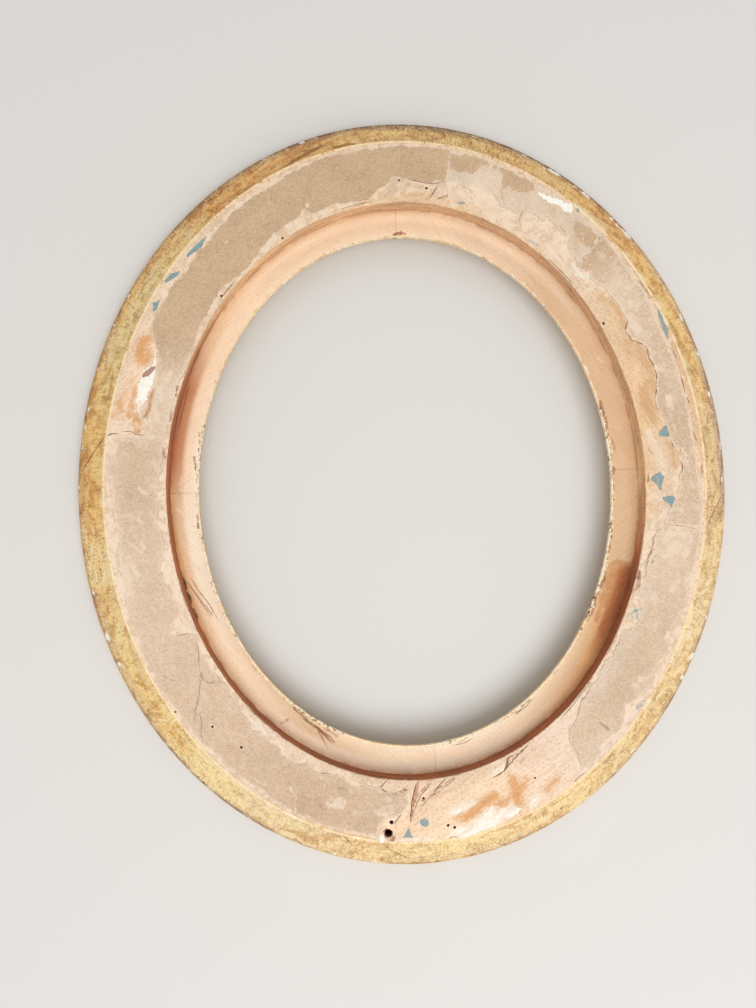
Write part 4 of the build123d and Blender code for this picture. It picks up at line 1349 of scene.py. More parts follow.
# Gesso and gold of the bevelled side
sideCoat = {
    "columns": 560,
    "rowGap": 0.66,
    "innerGap": 5.0,
    "stripGap": 0.4,          # on the coat's edge that shows on the flat back
    "unevenness": 0.12,
    "noiseLevel": 130,
    "variation": (0.13, 10.0, 51),
    "tones": {
        1: "0 goldTan, 12 goldTan, 20 goldPale, 40 goldWarm, 78 goldWarm, 95 goldOchre, 126 goldOchre, "
           "140 goldPale, 158 goldPale, 168 goldWarm, 182 goldWarm, 196 goldTan, 215 goldPale, "
           "235 goldCream, 250 goldCream, 262 goldTan, 325 goldTan, 338 goldCream, 350 goldTan",
        1.5: "0 goldTan, 10 goldTan, 18 goldWarm, 34 goldWarm, 47 goldDeep, 57 goldWarm, 92 goldWarm, "
             "112 goldDeep, 132 goldDeep, 142 goldPale, 157 goldPale, 170 goldWarm, 180 goldOchre, "
             "192 goldOchre, 200 goldPale, 222 goldWarm, 240 goldCream, 265 goldTan, 325 goldTan, "
             "340 goldCream, 354 goldTan",
        1.8: "0 dustyGold, 15 dustyGold, 27 goldTan, 42 goldOchre, 60 goldBrown, 82 goldUmber, "
             "102 goldBrown, 126 goldBrown, 150 goldOchre, 166 goldOchre, 180 goldBrown, 200 goldTan, "
             "225 goldTan, 240 goldCream, 262 goldTan, 280 dustyGold, 300 goldTan, 350 goldTan",
        # The darker colours at the rim, 1.93, are partly bole and partly painted shade where the rim turns
        # away
        1.93: "0 rimPink, 15 rimPink, 30 goldShade, 47 bole, 62 rimBrown, 110 rimBrown, 140 goldShade, "
              "200 goldShade, 235 rimPink, 262 goldTan, 275 goldShade, 300 goldTan, 330 rimPink, 350 goldTan",
    },
    "flecks": rows("0 .1, 12 .15, 30 .1, 50 .15, 68 .3, 80 .35, 98 .3, 110 .1, 125 .15, 134 .45, 140 .3, "
                   "150 .4, 158 .3, 165 .2, 176 .1, 184 .35, 188 .6, 193 .6, 196 .15, 210 .1, 222 .4, "
                   "228 .65, 236 .4, 250 .2, 262 .35, 275 .5, 285 .45, 300 .35, 315 .35, 330 .3, 345 .3, "
                   "352 .2"),
    "scratches": rows("0 .1, 20 .3, 40 .35, 52 .3, 62 .5, 68 .8, 84 .9, 92 .6, 100 .4, 120 .4, 128 .7, "
                      "136 .4, 150 .35, 165 .25, 180 .3, 192 .4, 200 .2, 215 .15, 235 .15, 262 .15, 280 .3, "
                      "300 .25, 320 .35, 340 .4, 350 .1"),
    "stains": marks(
        "bole 3.6 .28, 206 1.15, 209.6 1.22", "rubbed .9 .3, 270 1.12, 273.6 1.12",
        "rubbed 2.2 .25, 5 1.95, 14 1.96, 24 1.95", "bole 1.6 .3, 7 1.93, 22 1.94",
        "goldShade 2.6 .4, 18 1.2, 20 1.15", "goldShade 2.4 .45, 24.5 1.22, 27.5 1.15",
        "rubbed 2.2 .35, 46 1.55, 48 1.4", "rubbed 2 .4, 83 1.15, 86 1.2", "rubbed 1.8 .35, 81 1.85, 84 1.7",
        "cream 5 .35, 153 1.75, 158 1.7", "goldShade 2.8 .4, 282 1.12, 291 1.1",
        "goldShade 2.2 .35, 303 1.12, 311 1.15", "goldShade 2 .4, 321 1.45, 323 1.6",
        "cream 2.4 .5, 131.5 1.45, 133 1.2", "goldDeep 3 .4, 176 1.45, 182 1.5, 189 1.45",
        "goldDeep 2.6 .4, 48 1.3, 52 1.4"),
    "patches": marks(
        "rubbed .8 .05, 98 1.07 1.2, 99.5 1.12 2.4, 101.4 1.1 1.6", "rubbed .55, 95 1.3 .6, 96.6 1.25 1",
        "rubbed .85 .05, 103.8 1.36 1.6, 105.6 1.32 2.8, 107.6 1.22 3, 110.4 1.1 1.4",
        "rubbed .7 .05, 107.4 1.48 .9, 106.6 1.36 1.6", "rubbed .6 .03, 111.2 1.12 .9, 112.8 1.08 .8",
        "rubbed .6, 86.4 1.2 .7, 88 1.3 .9, 89.4 1.28 .5", "rubbed .55, 76 1.3 .5, 78.2 1.2 .8",
        "umber .7 .1, 256 1.06 .4, 257 1.22 .6, 257.6 1.3 .35",
        "rubbed .7 .03, 122.6 1.88 .5, 124 1.62 .9, 126.5 1.75 .7",
        "rubbed .6 .03, 114.6 1.7 .5, 116.6 1.62 .7",
        "rubbed .6 .02, 163.6 1.08 .7, 163.8 1.26 1.3, 163.6 1.42 .6",
        "rubbed .55 .02, 149.8 1.08 .6, 149.2 1.32 1.1",
        "rubbed .6 .02, 138.5 1.72 .3, 142 1.68 .5, 147 1.7 .3", "rubbed .55 .02, 136 1.12 .4, 140 1.18 .5",
        "rubbed .5, 70 1.62 .6, 71.4 1.5 .8, 72.6 1.52 .4", "cream .6, 140.6 1.5 .9, 142.4 1.5 1.2",
        "goldBright .9, 185.4 1.8 .7, 186.2 1.72 .9",
        "goldBright .9, 186.8 1.62 .6, 187.6 1.58 1, 188.4 1.62 .7",
        "goldBright .9, 191 1.58 .8, 192.6 1.62 1",
        "goldBright .95, 191.8 1.24 .7, 192.6 1.34 1.3, 193.5 1.45 .8",
        "goldBright .9, 189.6 1.76 .5, 190.8 1.8 .6", "goldBright .8, 188 1.32 .7, 189.6 1.24 1",
        "goldBright .8, 184 1.5 .5, 185.2 1.42 .8", "goldBright .7, 217 1.6 .7, 217.6 1.4 .9",
        "goldBright .8, 322.4 1.22 .8, 323.6 1.3 1.1", "cream .95 .1, 333.4 1.32 .8, 334.3 1.35 1.2",
        "goldShade .6, 339.6 1.5 .8, 340.6 1.3 .9", "goldShade .6, 343 1.7 .5, 342 1.2 .6",
        "goldShade .6, 346 1.7 .5, 345.4 1.15 .6", "cream .6, 11.8 1.4 .7, 12.4 1.2 .8",
        "rust .6 .02, 359.8 1.5 .4, .8 1.45 .4", "rust .7 .1, 253.4 1.02 .5, 254.4 1.08 .6, 255.2 1.1 .4",
        "goldBright .7, 226 1.4 .6, 228 1.5 .9, 230 1.45 .6"),
    "seams": marks(  # the scarfs' cracks and smaller ones
        ".42 1, 169.6 1, 171 1.2, 172.6 1.42, 174.2 1.64, 175.6 1.86",
        ".32 .85, 352 1, 353.8 1.24, 355.6 1.5, 357.5 1.8, 358.6 1.98",
        ".28 .8, 262.8 1.04, 265 1.35, 267.4 1.6, 269.5 1.85",
        ".3 .9, 80.6 1, 82.4 1.25, 84.6 1.55, 86.8 1.9", ".18 .7, 255.6 1.02, 256.7 1.2, 258.2 1.42"),
    "edgeWear": rows(  # where the gesso shows along the back edge: from, to and how far down
        "12.5 14.2 .16, 29.4 31.8 .26, 34 37 .22, 39 42 .15, 46 54.2 .34, 143 151 .12, 170 195 .13, "
        "182 186 .16, 226 243 .12, 237 241 .1, 275 283.5 .17, 292 296 .05, 310 314 .05, 328 341 .1, "
        "347 352 .16"),
    "chips": rows(  # white chips on the rim: angle, across, half length, half width
        ".1 1.88 1.7 1.4, 13.8 1.86 .9 1.5, 27 1.88 1.8 1.7, 43.6 1.9 3.6 2.2, 45.6 1.85 1 1.4, "
        "47.2 1.87 1 1.5, 53.3 1.89 3.4 1.9, 55.4 1.88 .9 1.3, 59.9 1.88 3.8 2, 61.6 1.8 1.3 1.1, "
        "65.8 1.9 1.2 1.2, 104 1.92 1 1, 106.7 1.93 1.3 1.3, 114 1.94 .7 .9, 146.7 1.93 1.4 1, "
        "165.8 1.91 1 1, 168.6 1.91 1.8 1, 171.8 1.92 1.2 .9, 194.4 1.91 1.1 1.2, 201.7 1.88 2.8 1.8, "
        "206.2 1.88 1.4 1.3, 255.2 1.93 1.1 .9, 262.5 1.93 1.8 .8, 327.7 1.91 1 1.3, 331.4 1.92 1.8 1.5, "
        "313 1.84 2.3 1, 75.5 1.9 .8 .8, 229 1.94 1 .7, 152 1.94 .8 .7, 159.4 1.94 .7 .6, 178 1.95 .8 .6, "
        "184.6 1.95 .7 .6, 5.4 1.94 2.2 .8, 20.4 1.94 1.4 .8, 34.6 1.93 .9 .7, 338 1.94 1.2 .8, "
        "347.4 1.92 1.2 .9"),
    "chipDepth": 0.32,
}
sideSection = (
    spaced([(back - bevelRun, depth), (back, depth)], sideCoat["stripGap"])
    + spaced([(back, depth)] + roundOff(filletOuter, rimRadius, rimRadius,
                                        bevelNormal, 0, 10), sideCoat["rowGap"])[1:]
    + spaced(roundOff(filletOuter, rimRadius, rimRadius - coat, 0, bevelNormal, 8)
             + [(back - bevelRun, depth)], sideCoat["innerGap"]))
rimDegree = (rimReach + lead / 2) * math.radians(1)      # millimetres in a degree at the rim


def addChips(paint):
    # Dents where the gesso has broken off the rim
    entries = []
    for angle, across, halfLength, halfWidth in sideCoat["chips"]:
        out = max(halfLength - 0.7 * halfWidth, 0.1) / rimDegree
        path = [(angle + shift * out, across - 0.03, share * halfWidth)
                for shift, share in ((-1, 0.9), (0, 1.25), (1, 0.8))]
        entries.append(("white", 1.0, sideCoat["chipDepth"], path))
    addPatches(paint, entries, seed=1300)


def sweepOf(angle, across, middle):
    along = ((angle - middle + 180) % 360 - 180) * rimDegree
    return np.column_stack([along * mm, np.interp(across, acrossStops, flatStops) * mm,
                            np.zeros(len(angle))])


for number, place in enumerate(quarters):
    piece = quarterRing("sideGilding_" + place, sideSection, place, "scarf", sideCoat["columns"], sideGold)
    mesh, points, angle, reach = survey(piece)
    normals = readNormals(mesh)
    across = acrossOf(reach, points[:, 2])
    onStrip = (reach <= back + 0.01) & (points[:, 2] > depth - 0.1)
    across = np.where(onStrip, 1.0, across)
    flat = flatPlace(angle, across)
    flatPoints = lifted(flat, sideCoat["noiseLevel"])
    tint = varied(paintTones(angle, across, sideCoat["tones"]), flatPoints, *sideCoat["variation"])
    tint[onStrip] = linear("woodPeach")
    paintStains(tint, flat, sideCoat["stains"])
    paint = newPaint(tint, flat)
    addPatches(paint, sideCoat["patches"], seed=1200)
    addChips(paint)
    addSeams(paint, sideCoat["seams"])
    # Gesso shows where the back edge is worn, and in the coat's own edge on the back
    ragged = fractal(flatPoints, cell=2.6, seed=52)
    patches = fractal(flatPoints, cell=7.0, seed=53)
    bare = -0.5 + 0.8 * np.exp(-(across - 1) / 0.02) * smooth(patches, -0.3, 0.7)
    for start, end, down in sideCoat["edgeWear"]:
        span = smooth(angle, start - 1, start + 1) * (1 - smooth(angle, end - 1, end + 1))
        worn = np.clip(0.4 + (down * 0.6 - (across - 1)) / 0.20 + 0.8 * ragged, -0.6, 1.1)
        bare = np.maximum(bare, worn * span - 0.55 * (1 - span))
    bare = np.where(onStrip, np.maximum(bare, 0.55 + 0.5 * patches), bare)
    push = sideCoat["unevenness"] * fractal(flatPoints, cell=4.0, seed=54) - 0.12 - paint["relief"]
    push -= 0.15 * smooth(bare, 0.3, 0.8)
    faceOut = (normals[:, 2] > 0.02) & (across > 1.0)
    fade = smooth(across, 1.0, 1.04) * (1 - smooth(across, 2.1, 2.2))
    points += normals * (np.clip(push, -0.7, 0) * faceOut * fade)[:, None]
    storePaint(mesh, points, paint)
    keep(mesh, "sweep", sweepOf(angle, across, 90.0 * number + 45))
    fleckShare = roundOval(angle, sideCoat["flecks"]) - 0.9 * smooth(across, 1.86, 1.98)
    keep(mesh, "age", np.column_stack([fleckShare, roundOval(angle, sideCoat["scratches"]), bare]))
    dress(piece, "old_gilding", "gilded_side_" + place)
print("side gilding made")


# Gesso and gold of the moulded front and the sight edge
frontCoat = {
    "columns": 900,
    "outerGap": 1.6,
    "innerGap": 7.0,
    "unevenness": 0.05,
    "variation": (0.10, 22.0, 61),
    "worn": [                 # reach, height and spread of the arrises where the gold is rubbed through
        (beadReach, scoopFloor - beadRadius, 1.2), (filletInner, 0.0, 1.0),
        (filletOuter, 0.0, 2.0), (sight, sightEdgeZ, 1.0), (scoopOuter, quirkDepth, 0.8)],
    "dirty": [                # reach and height of the inner corners that are painted darker
        (filletInner - 0.8, quirkDepth), (scoopInner - 0.6, scoopFloor), (slopeReach + 0.8, scoopFloor)],
}
outerFront = spaced(
    roundOff(filletOuter, rimRadius, rimRadius, 0, -math.pi / 2, 8)
    + [(filletInner, 0), (filletInner, quirkDepth)]
    + scoop(0, scoopStart(0), scoopInner, 30) + sightMoulding(0, 12), frontCoat["outerGap"])
innerFront = (
    spaced(sightMoulding(coat)[::-1], frontCoat["innerGap"])
    + scoop(coat, lap, scoopInner, 2)[:0:-1]
    + scoop(coat, scoopStart(coat), lap, 4)[::-1]
    + [(filletInner + coat, quirkDepth + coat), (filletInner + coat, coat)]
    + roundOff(filletOuter, rimRadius, rimRadius - coat, -math.pi / 2, 0, 4))
frontSection = outerFront + innerFront + [outerFront[0]]
frontPiece = turned("frontGilding", frontSection, np.zeros(len(frontSection)),
                    np.full(len(frontSection), 2 * math.pi), frontCoat["columns"], frontGold)
mesh, points, angle, reach = survey(frontPiece)
normals, height = readNormals(mesh), points[:, 2]
across = np.where((reach > filletOuter) & (height > 0), 2 + (rimRadius - height) / bevelSlant, 3.0)
tint = varied(np.tile(linear("oldGold"), (len(points), 1)), points, *frontCoat["variation"])
wearAt = np.zeros(len(points))
for reachAt, heightAt, spread in frontCoat["worn"]:
    wearAt = np.maximum(wearAt, np.exp(-np.hypot(reach - reachAt, height - heightAt) / spread))
worn = wearAt * patchy(points, 6.0, 62, -0.25, 0.6)
blend(tint, "bole", np.clip(worn * 0.6, 0, 1))
# The inner corners of the moulding are painted darker, in umber
dirt = sum(np.exp(-np.hypot(reach - reachAt, height - heightAt) / 1.2)
           for reachAt, heightAt in frontCoat["dirty"])
blend(tint, "umber", np.clip(dirt * 0.3 * patchy(points, 9.0, 63, -0.9, 0.4), 0, 1))
# A dark band along the widest rim: partly bole, partly painted shade where the rim turns under
blend(tint, "rimBrown", 0.5 * np.exp(-np.abs(across - 2) / 0.12) * patchy(points, 8.0, 64, -0.6, 0.6))
paint = newPaint(tint, flatPlace(angle, across))
addChips(paint)
# The sight edge is knocked about: brown wood and cream gesso between bits of gold
onSight = (np.abs(reach - sight) < 1.2) & (height > sightEdgeZ - 0.3)
knocked = fleckStrength(angle)
tint[onSight] = linear("ledgePeach") + (linear("fleckGold") - linear("ledgePeach")) * knocked[onSight, None]
for name, seed, level in (("cream", 67, 0.35), ("rubbed", 65, 0.85), ("umber", 69, 1.0)):
    cover = 0.5 + 1.6 * (fractal(points, 1.8, seed) + 0.7 * knocked - level)
    wins = onSight & (cover > paint["cover"])
    paint["patch"][wins] = linear(name)
    paint["cover"][wins] = np.clip(cover[wins], -0.6, 1.2)
outerFace = normals[:, 2] < 0.15
push = frontCoat["unevenness"] * fractal(points, cell=5.0, seed=66) - 0.05 - paint["relief"]
points += normals * (np.clip(push, -0.6, 0) * outerFace * (height > 0.02))[:, None]
storePaint(mesh, points, paint)
keep(mesh, "sweep", np.column_stack([points[:, 0] * mm, points[:, 1] * mm, reach * 0]))
keep(mesh, "age", np.column_stack([0.1 + worn * 0.5, 0.15 + worn, worn * 0.9 - 0.4]))
dress(frontPiece, "front_gilding", "gilded_front")
print("front gilding made")


backingSheets = {
    "base": depth - 0.04,
    "raised": {},             # how far single pieces lie above the base, by number
    "edgeShift": 0.0,         # more keeps the edge from going pale
    "thickness": 0.25,
    "edgeGap": 0.40,
    "gridGap": 0.80,
    "ragged": 0.75,
    "lift": 0.40,
    "curlReach": 1.4,
    "cockle": 0.10,
    "edgeRoom": 0.3,          # between the torn edge and the first points inside it
    "noiseLevel": 170,
    "seed": 101,
    "joints": [(46.0, 1.45), (79.5, 1.0), (168.9, 1.2), (351.9, 1.0)],   # where torn ends are drawn together
    "tones": {
        0: "0 paperFawn, 50 paperTan, 140 paperTan, 160 paperPale, 200 paperPale, 250 paperFawn, "
           "262 paperFawn, 310 paperGrey, 345 paperGrey",
        .5: "0 paperFawn, 26 paperFawn, 38 paperPale, 46 paperTan, 150 paperTan, 163 paperPale, "
            "172 paperFawn, 200 paperPale, 245 paperFawn, 262 paperFawn, 300 paperPale, 325 paperFawn, "
            "345 paperPale",
        1: "0 paperFawn, 50 paperTan, 140 paperTan, 160 paperPale, 200 paperPale, 250 paperFawn, "
           "262 paperFawn, 310 paperGrey, 345 paperFawn",
    },
    "wear": rows("0 .25, 10 .15, 20 .3, 30 .45, 38 .5, 44 .1, 50 -.1, 80 -.45, 100 -.5, 130 -.4, 148 -.3, "
                 "153 .1, 158 .55, 166 .5, 170 .2, 180 .1, 188 .25, 194 .3, 200 .1, 215 0, 230 0, 245 -.1, "
                 "262 .1, 268 .3, 304 -.2, 315 -.1, 330 .1, 345 .35, 352 .35, 358 .3"),
    "outerWear": (176, 200, .35),      # more of the top ply is gone near the bevel here
    "stains": marks(
        "paperDeep 5 .45, 246 .74, 249.6 .72", "paperDeep 3 .25, 229 .62, 231 .6",
        "paperDeep 4 .3, 258.5 .8, 260.6 .66", "paperDeep 2.4 .3, 45.6 .72, 47 .6",
        "crease .9 .4, 252.6 .3, 253.4 .28", "crease .5 .4, 249.6 .67, 249.8 .66",
        "paperDeep 3 .3, 96 .5, 102 .4", "paperFawn 3 .4, 118 .6, 124 .5"),
    "rubbed": marks(  # pale rubbed places: half width, strength, path
        "1.3 .75, 111 .3, 111.6 .28, 112.4 .22, 114 .17", ".9 .5, 110.3 .3, 113 .2",
        ".5 .8, 123 .39, 124 .36, 124.9 .28, 125.1 .18", ".8 .9, 100.5 .56, 101 .52",
        ".6 .6, 106.4 .52, 107.4 .5", ".9 .5, 128.6 .57, 130.4 .54", ".7 .8, 84.9 .83, 85.3 .77",
        ".6 .7, 79.2 .9, 79.4 .8", ".45 .7, 232.6 .62, 233.1 .5, 232.9 .35", ".4 .5, 232.9 .78, 233.2 .65",
        "2.6 .85, 251.8 .56, 253.8 .5", ".8 .75, 245.5 .86, 244.4 .66, 243 .6", "2.6 .6, 262 .55, 263.8 .48",
        ".5 .6, 185 .75, 187.4 .66, 190 .46", "1 .55, 187 .5, 189 .42", "1.2 .55, 190.4 .7, 193.6 .6",
        "2.6 .75, 191.6 .8, 195.8 .78", ".8 .5, 184 .44, 184.8 .38", "2.2 .5, 322 .66, 324 .72, 322.6 .62",
        "1.4 .55, 340.4 .62, 342 .68", "1.5 .65, 341.8 .86, 343.6 .82",
        ".8 .5, 331.6 .78, 332.6 .81, 333.2 .77, 332.2 .74, 331.6 .77",
        "3.2 .6, 347.4 .66, 348 .56, 346.6 .42", "2.2 .65, 350.6 .66, 350.8 .45, 349.4 .36",
        "1.2 .5, 337.6 .36, 338.6 .34", ".8 .5, 349.4 .78, 350.6 .74", "1.8 .5, 3.4 .68, 4.8 .62",
        "1.6 .5, 12 .55, 15 .58", "1.4 .6, 32.6 .7, 33.6 .62", "1.6 .55, 36.4 .7, 37.6 .66",
        "1 .55, 43 .7, 44 .72", "1.2 .5, 19.6 .62, 21 .56", "1.6 .6, 28.6 .5, 31 .46",
        "1.2 .45, 8.4 .84, 11 .82", "1.4 .55, 156 .22, 157.6 .24", "1.2 .5, 159.6 .3, 161.4 .24",
        ".8 .6, 150.4 .38, 150.2 .34", "1.2 .45, 164 .3, 165.4 .22", "1.2 .5, 178.6 .4, 179.4 .3",
        "1.4 .45, 172.4 .86, 174 .82", "1 .5, 222.6 .26, 224 .24", ".5 .6, 223.4 .5, 223.6 .42",
        "1 .4, 236 .78, 238.6 .76", "1 .45, 207 .7, 209 .72"),
    "patches": [],
    "seams": marks(
        ".28 .8, 206.6 .32, 206.9 .16, 207.6 .09, 210 .09, 212 .16, 214 .25",
        ".25 .75, 214 .25, 216 .34, 218 .48, 219.6 .66, 221.6 .84",
        ".24 .7, 214.2 .24, 216 .29, 217.4 .25, 218.4 .12",
        ".24 .7, 219.4 .7, 221 .66, 222.2 .72, 223.4 .84, 224.6 .9", ".28 .7, 211 .82, 213 .7, 213.6 .66",
        ".2 .7, 190.8 .05, 191.2 .12", ".2 .75, 260.8 .14, 262.6 .2, 264.6 .235, 265.8 .2, 266.4 .16"),
}


def paintSheet(piece, fromEdge, settings):
    mesh, points, angle, reach = survey(piece)
    across = (reach - rebate) / (back - rebate)
    flat = points[:, :2]
    flatPoints = lifted(flat, settings["noiseLevel"])
    tint = varied(paintTones(angle, across, settings["tones"]), flatPoints, 0.05, 16.0, settings["seed"] + 20)
    paintStains(tint, flat, settings["stains"])
    paint = newPaint(tint, flat)
    addPatches(paint, settings["patches"], seed=1400)
    addSeams(paint, settings["seams"])
    wear = roundOval(angle, settings["wear"])
    start, end, more = settings["outerWear"]
    wear += (more * smooth(across, 0.68, 0.85) * smooth(angle, start - 2, start + 2)
             * (1 - smooth(angle, end - 2, end + 2)))
    for width, strength, path in settings["rubbed"]:
        near, shape, _ = pathShape(flat, path, width * 3)
        broken = np.clip(0.7 + 0.9 * fractal(flatPoints[near], 2.4, settings["seed"] + 30), 0, 1.4)
        wear[near] += 1.3 * strength * broken * (1 - smooth(shape[1], width * 0.3, width * 1.7))
    points[:, 2] -= np.where(fromEdge > 0, np.clip(paint["relief"], 0, settings["thickness"] * 0.6), 0)
    storePaint(mesh, points, paint)
    keep(mesh, "wear", wear)
    keep(mesh, "edge", fromEdge + settings["edgeShift"])


def layDown(name, nodeName, settings, material, slotName, outlines=None):
    piece, fromEdge = tornSheet(name, outlines or topOutlines(nodeName), settings, material)
    paintSheet(piece, fromEdge, settings)
    dress(piece, slotName, nodeName)


def outlineFrom(text):
    # An outline on the back: angle and across all the way round
    places = np.array(rows(text))
    loop = lifted(flatPlace(places[:, 0], places[:, 1]), depth)
    return loop if areaOf(loop) > 0 else loop[::-1]


for number, place in enumerate(sheetPlaces):
    settings = dict(backingSheets, seed=backingSheets["seed"] + 10 * number)
    layDown("backingPaper_" + place, "backing_paper_" + place, settings, backPaper, "backing_paper")

plain = {"wear": rows("0 0"), "outerWear": (0, 1, 0), "stains": [], "rubbed": [], "patches": [], "seams": []}
topPatches = dict(backingSheets, base=depth + 0.10, thickness=0.12, ragged=0.9, lift=0.10, cockle=0.05,
                  seed=151, rubbed=marks("1.2 .6, 48.6 .66, 49.6 .74", "1.6 .5, 70 .85, 74 .8"))
layDown("topPaperPatches", "top_paper_patches", topPatches, backPaper, "backing_paper")

underPly = {
    **backingSheets, **plain, "thickness": 0.15, "ragged": 0.8, "lift": 0.25, "seed": 161,
    "tones": {
        0: "48 plyCream, 78 plyCream",
        1: "48 plyCream, 60 paperPale, 78 plyCream",
    },
    "wear": rows("44 .3, 50 0, 56 .2, 61 .5, 64 .3, 72 .4, 80 .2"),
    "stains": marks(
        "paperPale 2.4 .6, 67.2 .72, 67.6 .56, 66.4 .4", "paperFawn 1.6 .6, 61.4 .6, 61.6 .26",
        "paperTan 1.4 .6, 61.2 .8, 63 .7", "paperTan 1.6 .5, 55.4 .62, 57 .7",
        "paperPale 3 .4, 49 .5, 54 .62, 59 .6", "scuff 3 .5, 70 .7, 74 .55",
        "paperTan 2.2 .45, 48.4 .46, 50 .6", "paperFawn 1.8 .5, 72 .86, 76 .88"),
    "patches": marks(
        "paperFawn .9, 66.2 .38 .5, 67.2 .5 .9, 67.6 .6 .5", "paperTan .8, 61.4 .22 .5, 61.8 .4 .6"),
    "seams": marks(".2 .7, 50 .45, 52 .54, 54 .57"),
}
layDown("underPlyUpperRight", "under_paper_upper_right", underPly, plyPaper, "under_paper")

blueScraps = {
    **backingSheets, **plain, "thickness": 0.12, "edgeGap": 0.30, "gridGap": 0.5, "ragged": 0.32, "lift": 0.2,
    "edgeShift": 1.1, "cockle": 0.04, "seed": 171, "wear": rows("0 -.3, 180 -.2, 270 -.4, 330 .6, 340 .6, "
                                                                "356 -.3"),
    "tones": {
        0: "0 slateBlue, 75 greyBlue, 333 greyBlue, 356 slateBlue",
        1: "0 slateBlue, 28 greyBlue, 140 slateBlue, 268 greyBlue, 319 slateBlue",
    },
    "stains": marks(
        "paperFawn .8 .6, 332.6 .16, 333.6 .18", "paperFawn .7 .5, 359 .2, 360.6 .2"),
    "outlines": [  # angle and across, all the way round
        "358.2 .27, 359 .24, 359.6 .27, 360.2 .3, 360.8 .31, 361.1 .27, 361.6 .25, 361.4 .18, 360.8 .11, "
        "360.2 .1, 359.8 .15, 359.2 .19, 358.4 .22",
        "354.7 .44, 355.2 .46, 356 .49, 356.6 .5, 357.1 .47, 357.3 .42, 357.2 .34, 356.9 .27, 356.3 .3, "
        "355.6 .38",
        "8 .44, 8.6 .46, 9.4 .44, 10.3 .45, 9.9 .4, 9.5 .34, 9 .3, 8.5 .32, 8.3 .38",
        "24.5 .885, 25.2 .92, 26 .95, 28 .96, 29.9 .965, 29.6 .93, 28.4 .91, 26.8 .885, 25.4 .875",
        "52.2 .95, 52.8 .98, 52.9 .95, 52.5 .93",
        "74.2 .14, 75 .15, 75.6 .13, 76.2 .1, 74.8 .11",
        "130.9 .86, 132 .83, 133 .8, 134 .825, 135.2 .85, 136 .87, 136 .905, 134.6 .9, 133 .885",
        "138.8 .83, 139.4 .87, 140 .92, 141 .945, 142.2 .945, 141.6 .9, 141 .86, 140 .83",
        "144.6 .86, 145.6 .88, 146.2 .93, 146.6 .9, 147.4 .88, 147.2 .84, 146.4 .83, 145.4 .85",
        "266.8 .9, 267.8 .905, 268.7 .9, 268.3 .85, 268.2 .8, 267.9 .745, 267.5 .8, 267.2 .85",
        "270.3 .7, 270.8 .73, 271.4 .745, 271.9 .7, 271.8 .65, 271.2 .61, 270.7 .615, 270.2 .65",
        "318.5 .88, 319.2 .86, 320 .87, 320.6 .9, 321 .94, 320 .95, 319.2 .93",
        "333 .26, 333.6 .29, 334.4 .27, 335.2 .22, 334.6 .18, 335 .13, 334 .12, 333.4 .08, 332.4 .07, "
        "332 .12, 332.8 .16, 332.6 .21"],
}
layDown("bluePaperScraps", "blue_paper_scraps", blueScraps, bluePaper, "blue_paper",
        [outlineFrom(outline) for outline in blueScraps["outlines"]])

whiteFlakes = {
    **backingSheets, **plain, "thickness": 0.12, "edgeGap": 0.30, "gridGap": 0.5, "ragged": 1.0, "lift": 0.05,
    "raised": {0: 0.30}, "edgeShift": 1.0, "cockle": 0.05, "seed": 181,
    "tones": {
        0: "0 white",
        1: "57 white, 157 white, 280 chalk",
    },
    "stains": marks(
        "peachStain .8 .5, 163 .56, 164.6 .54", "woodPink 1.2 .4, 277.5 .93, 278.5 .9"),
    "patches": marks(
        "pinkBrown 1, 155.8 .47 .3, 156.8 .52 1.2, 157.8 .57 1.6, 158.4 .62 .7"),
    "outlines": [  # angle and across, all the way round
        "53.3 .82, 54.6 .8, 56.6 .8, 59 .76, 60.5 .78, 60.7 .81, 58.8 .84, 56.6 .89, 54.4 .94, 53.5 .91",
        "153 .585, 153.6 .55, 154.4 .52, 155.2 .49, 156 .47, 156.8 .46, 157.8 .45, 158.6 .46, 160 .45, "
        "161.8 .48, 163.4 .5, 164.6 .53, 165.2 .555, 164 .58, 162.2 .61, 160.4 .64, 158.6 .655, 157.6 .645, "
        "157 .61, 156.4 .55, 155.4 .545, 154.2 .57",
        "277 .955, 277.9 .93, 279 .935, 279.6 .9, 280.6 .92, 281.4 .9, 282.2 .93, 281.6 .965, 279.4 .985, "
        "277.6 .98",
        "281 .87, 281.7 .83, 282.6 .81, 283.4 .84, 284.4 .82, 285 .86, 285.6 .9, 284.4 .94, 283.2 .93, "
        "282.2 .9",
        "283 .76, 283.6 .7, 284.3 .665, 284.9 .67, 284.8 .73, 284.2 .775",
        "286.8 .865, 287.8 .84, 289 .85, 289.8 .82, 290.2 .85, 289.2 .885, 287.6 .9",
        "276.6 .6, 277.6 .565, 278.4 .55, 279.6 .52, 280.6 .5, 281.4 .505, 280.4 .54, 279 .57, 277.6 .6",
        "262.5 .84, 262.9 .83, 263.1 .98, 262.7 .99"],
}
layDown("whitePaintFlakes", "white_paint_flakes", whiteFlakes, chalkPaint, "white_paint",
        [outlineFrom(outline) for outline in whiteFlakes["outlines"]])
print("torn sheets made")


# The floor, the light and the camera, with lengths in metres
stage = {
    "floorSize": 40.0,
    "floorDrop": 0.0002,      # keeps the floor clear of the face that lies on it
    "lowest": 0.03,           # up to this far above the floor, an underside is lit through it
    "floorColour": (0.74, 0.73, 0.71, 1),
    "backdrop": (0.92, 0.91, 0.90, 1),
    "worldStrength": 0.60,
    "worldColour": (1.0, 0.985, 0.96, 1),
    "keyFrom": (0.30, -0.80, 1.55),
    "keySize": 1.5,
    "keyPower": 19.0,
}
size = stage["floorSize"] / 2
floorMaterial, floorShader = newMaterial("paleFloor", Roughness=0.9)
floorShader.inputs["Base Color"].default_value = stage["floorColour"]
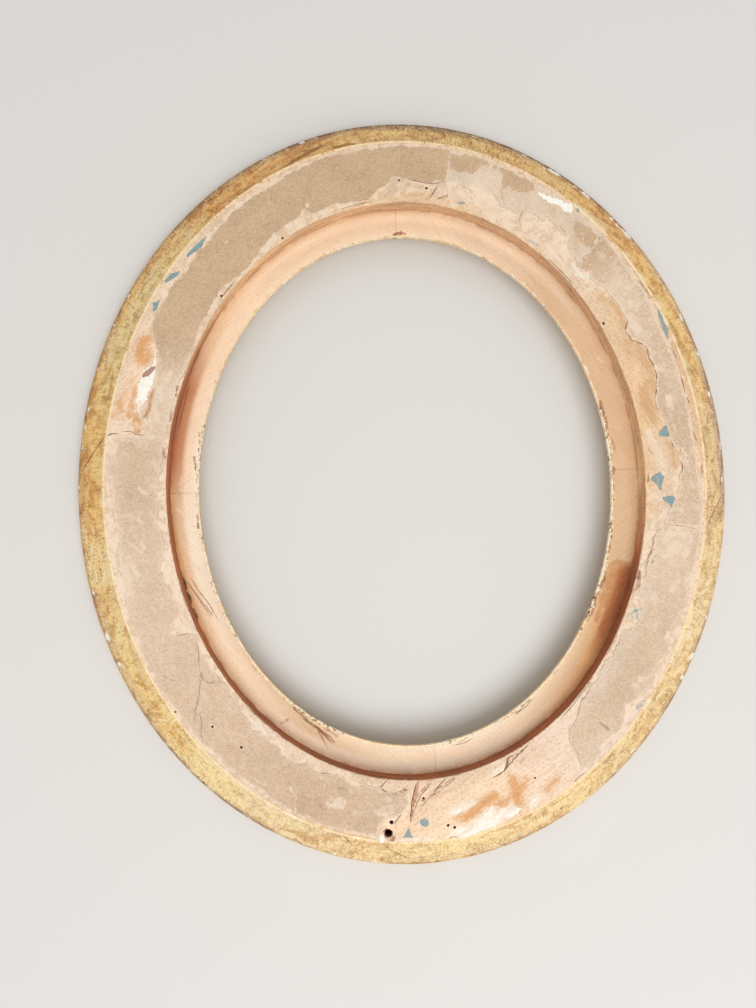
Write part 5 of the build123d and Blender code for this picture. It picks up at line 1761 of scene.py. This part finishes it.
# From below the floor isn't there, nor is it for the light that a low underside gathers
rays = newNode("ShaderNodeLightPath").outputs
soft = larger(Wire(rays["Is Diffuse Ray"]), Wire(rays["Is Shadow Ray"]))
near = calc("LESS_THAN", Wire(rays["Ray Length"]), stage["lowest"])
near = near * calc("LESS_THAN", Wire(rays["Ray Depth"]), 1.5)
oneSided = wired("ShaderNodeMixShader", {
    0: larger(wired("ShaderNodeNewGeometry", None, "Backfacing"), soft * near),
    1: Wire(floorShader.outputs[0]), 2: wired("ShaderNodeBsdfTransparent")})
plug(oneSided, floorMaterial.node_tree.nodes["Material Output"].inputs["Surface"])
floor = meshObject("floor", [(-size, -size, 0), (size, -size, 0), (size, size, 0), (-size, size, 0)],
                   [(0, 1, 2, 3)], floorMaterial)
floor.location.z = -stage["floorDrop"]

world = bpy.data.worlds.new("softRoom")
bpy.context.scene.world = world
world.use_nodes = True
drawing["tree"] = world.node_tree
room = world.node_tree.nodes["Background"]
room.inputs["Color"].default_value = stage["worldColour"]
room.inputs["Strength"].default_value = stage["worldStrength"]
rays = newNode("ShaderNodeLightPath").outputs
seen = larger(*[Wire(rays[label]) for label in ("Is Camera Ray", "Is Glossy Ray", "Is Transmission Ray")])
either = wired("ShaderNodeMixShader", {
    0: seen, 1: Wire(room.outputs[0]),
    2: wired("ShaderNodeBackground", {"Color": stage["backdrop"], "Strength": 1.0})})
plug(either, world.node_tree.nodes["World Output"].inputs["Surface"])

keyData = bpy.data.lights.new("keyLight", "AREA")
keyData.energy = stage["keyPower"]
keyData.size = stage["keySize"]
key = bpy.data.objects.new("keyLight", keyData)
key.location = stage["keyFrom"]
key.rotation_euler = (-Vector(stage["keyFrom"])).to_track_quat("-Z", "Y").to_euler()
bpy.context.collection.objects.link(key)

cameraSettings = {
    "place": (-0.02868, -0.01607, 0.44066),
    "turn": (1.2517, -1.6938, -1.8931),
    "focalPixels": 780.0,
    "imageHeight": 1008.0,
}
cameraData = bpy.data.cameras.new("camera")
cameraData.lens = cameraSettings["focalPixels"] / cameraSettings["imageHeight"] * cameraData.sensor_width
cameraData.clip_start = 0.01
camera = bpy.data.objects.new("camera", cameraData)
camera.location = cameraSettings["place"]
camera.rotation_euler = [math.radians(turn) for turn in cameraSettings["turn"]]
bpy.context.collection.objects.link(camera)
bpy.context.scene.camera = camera
bpy.context.scene.view_settings.view_transform = "Standard"
print("stage made")
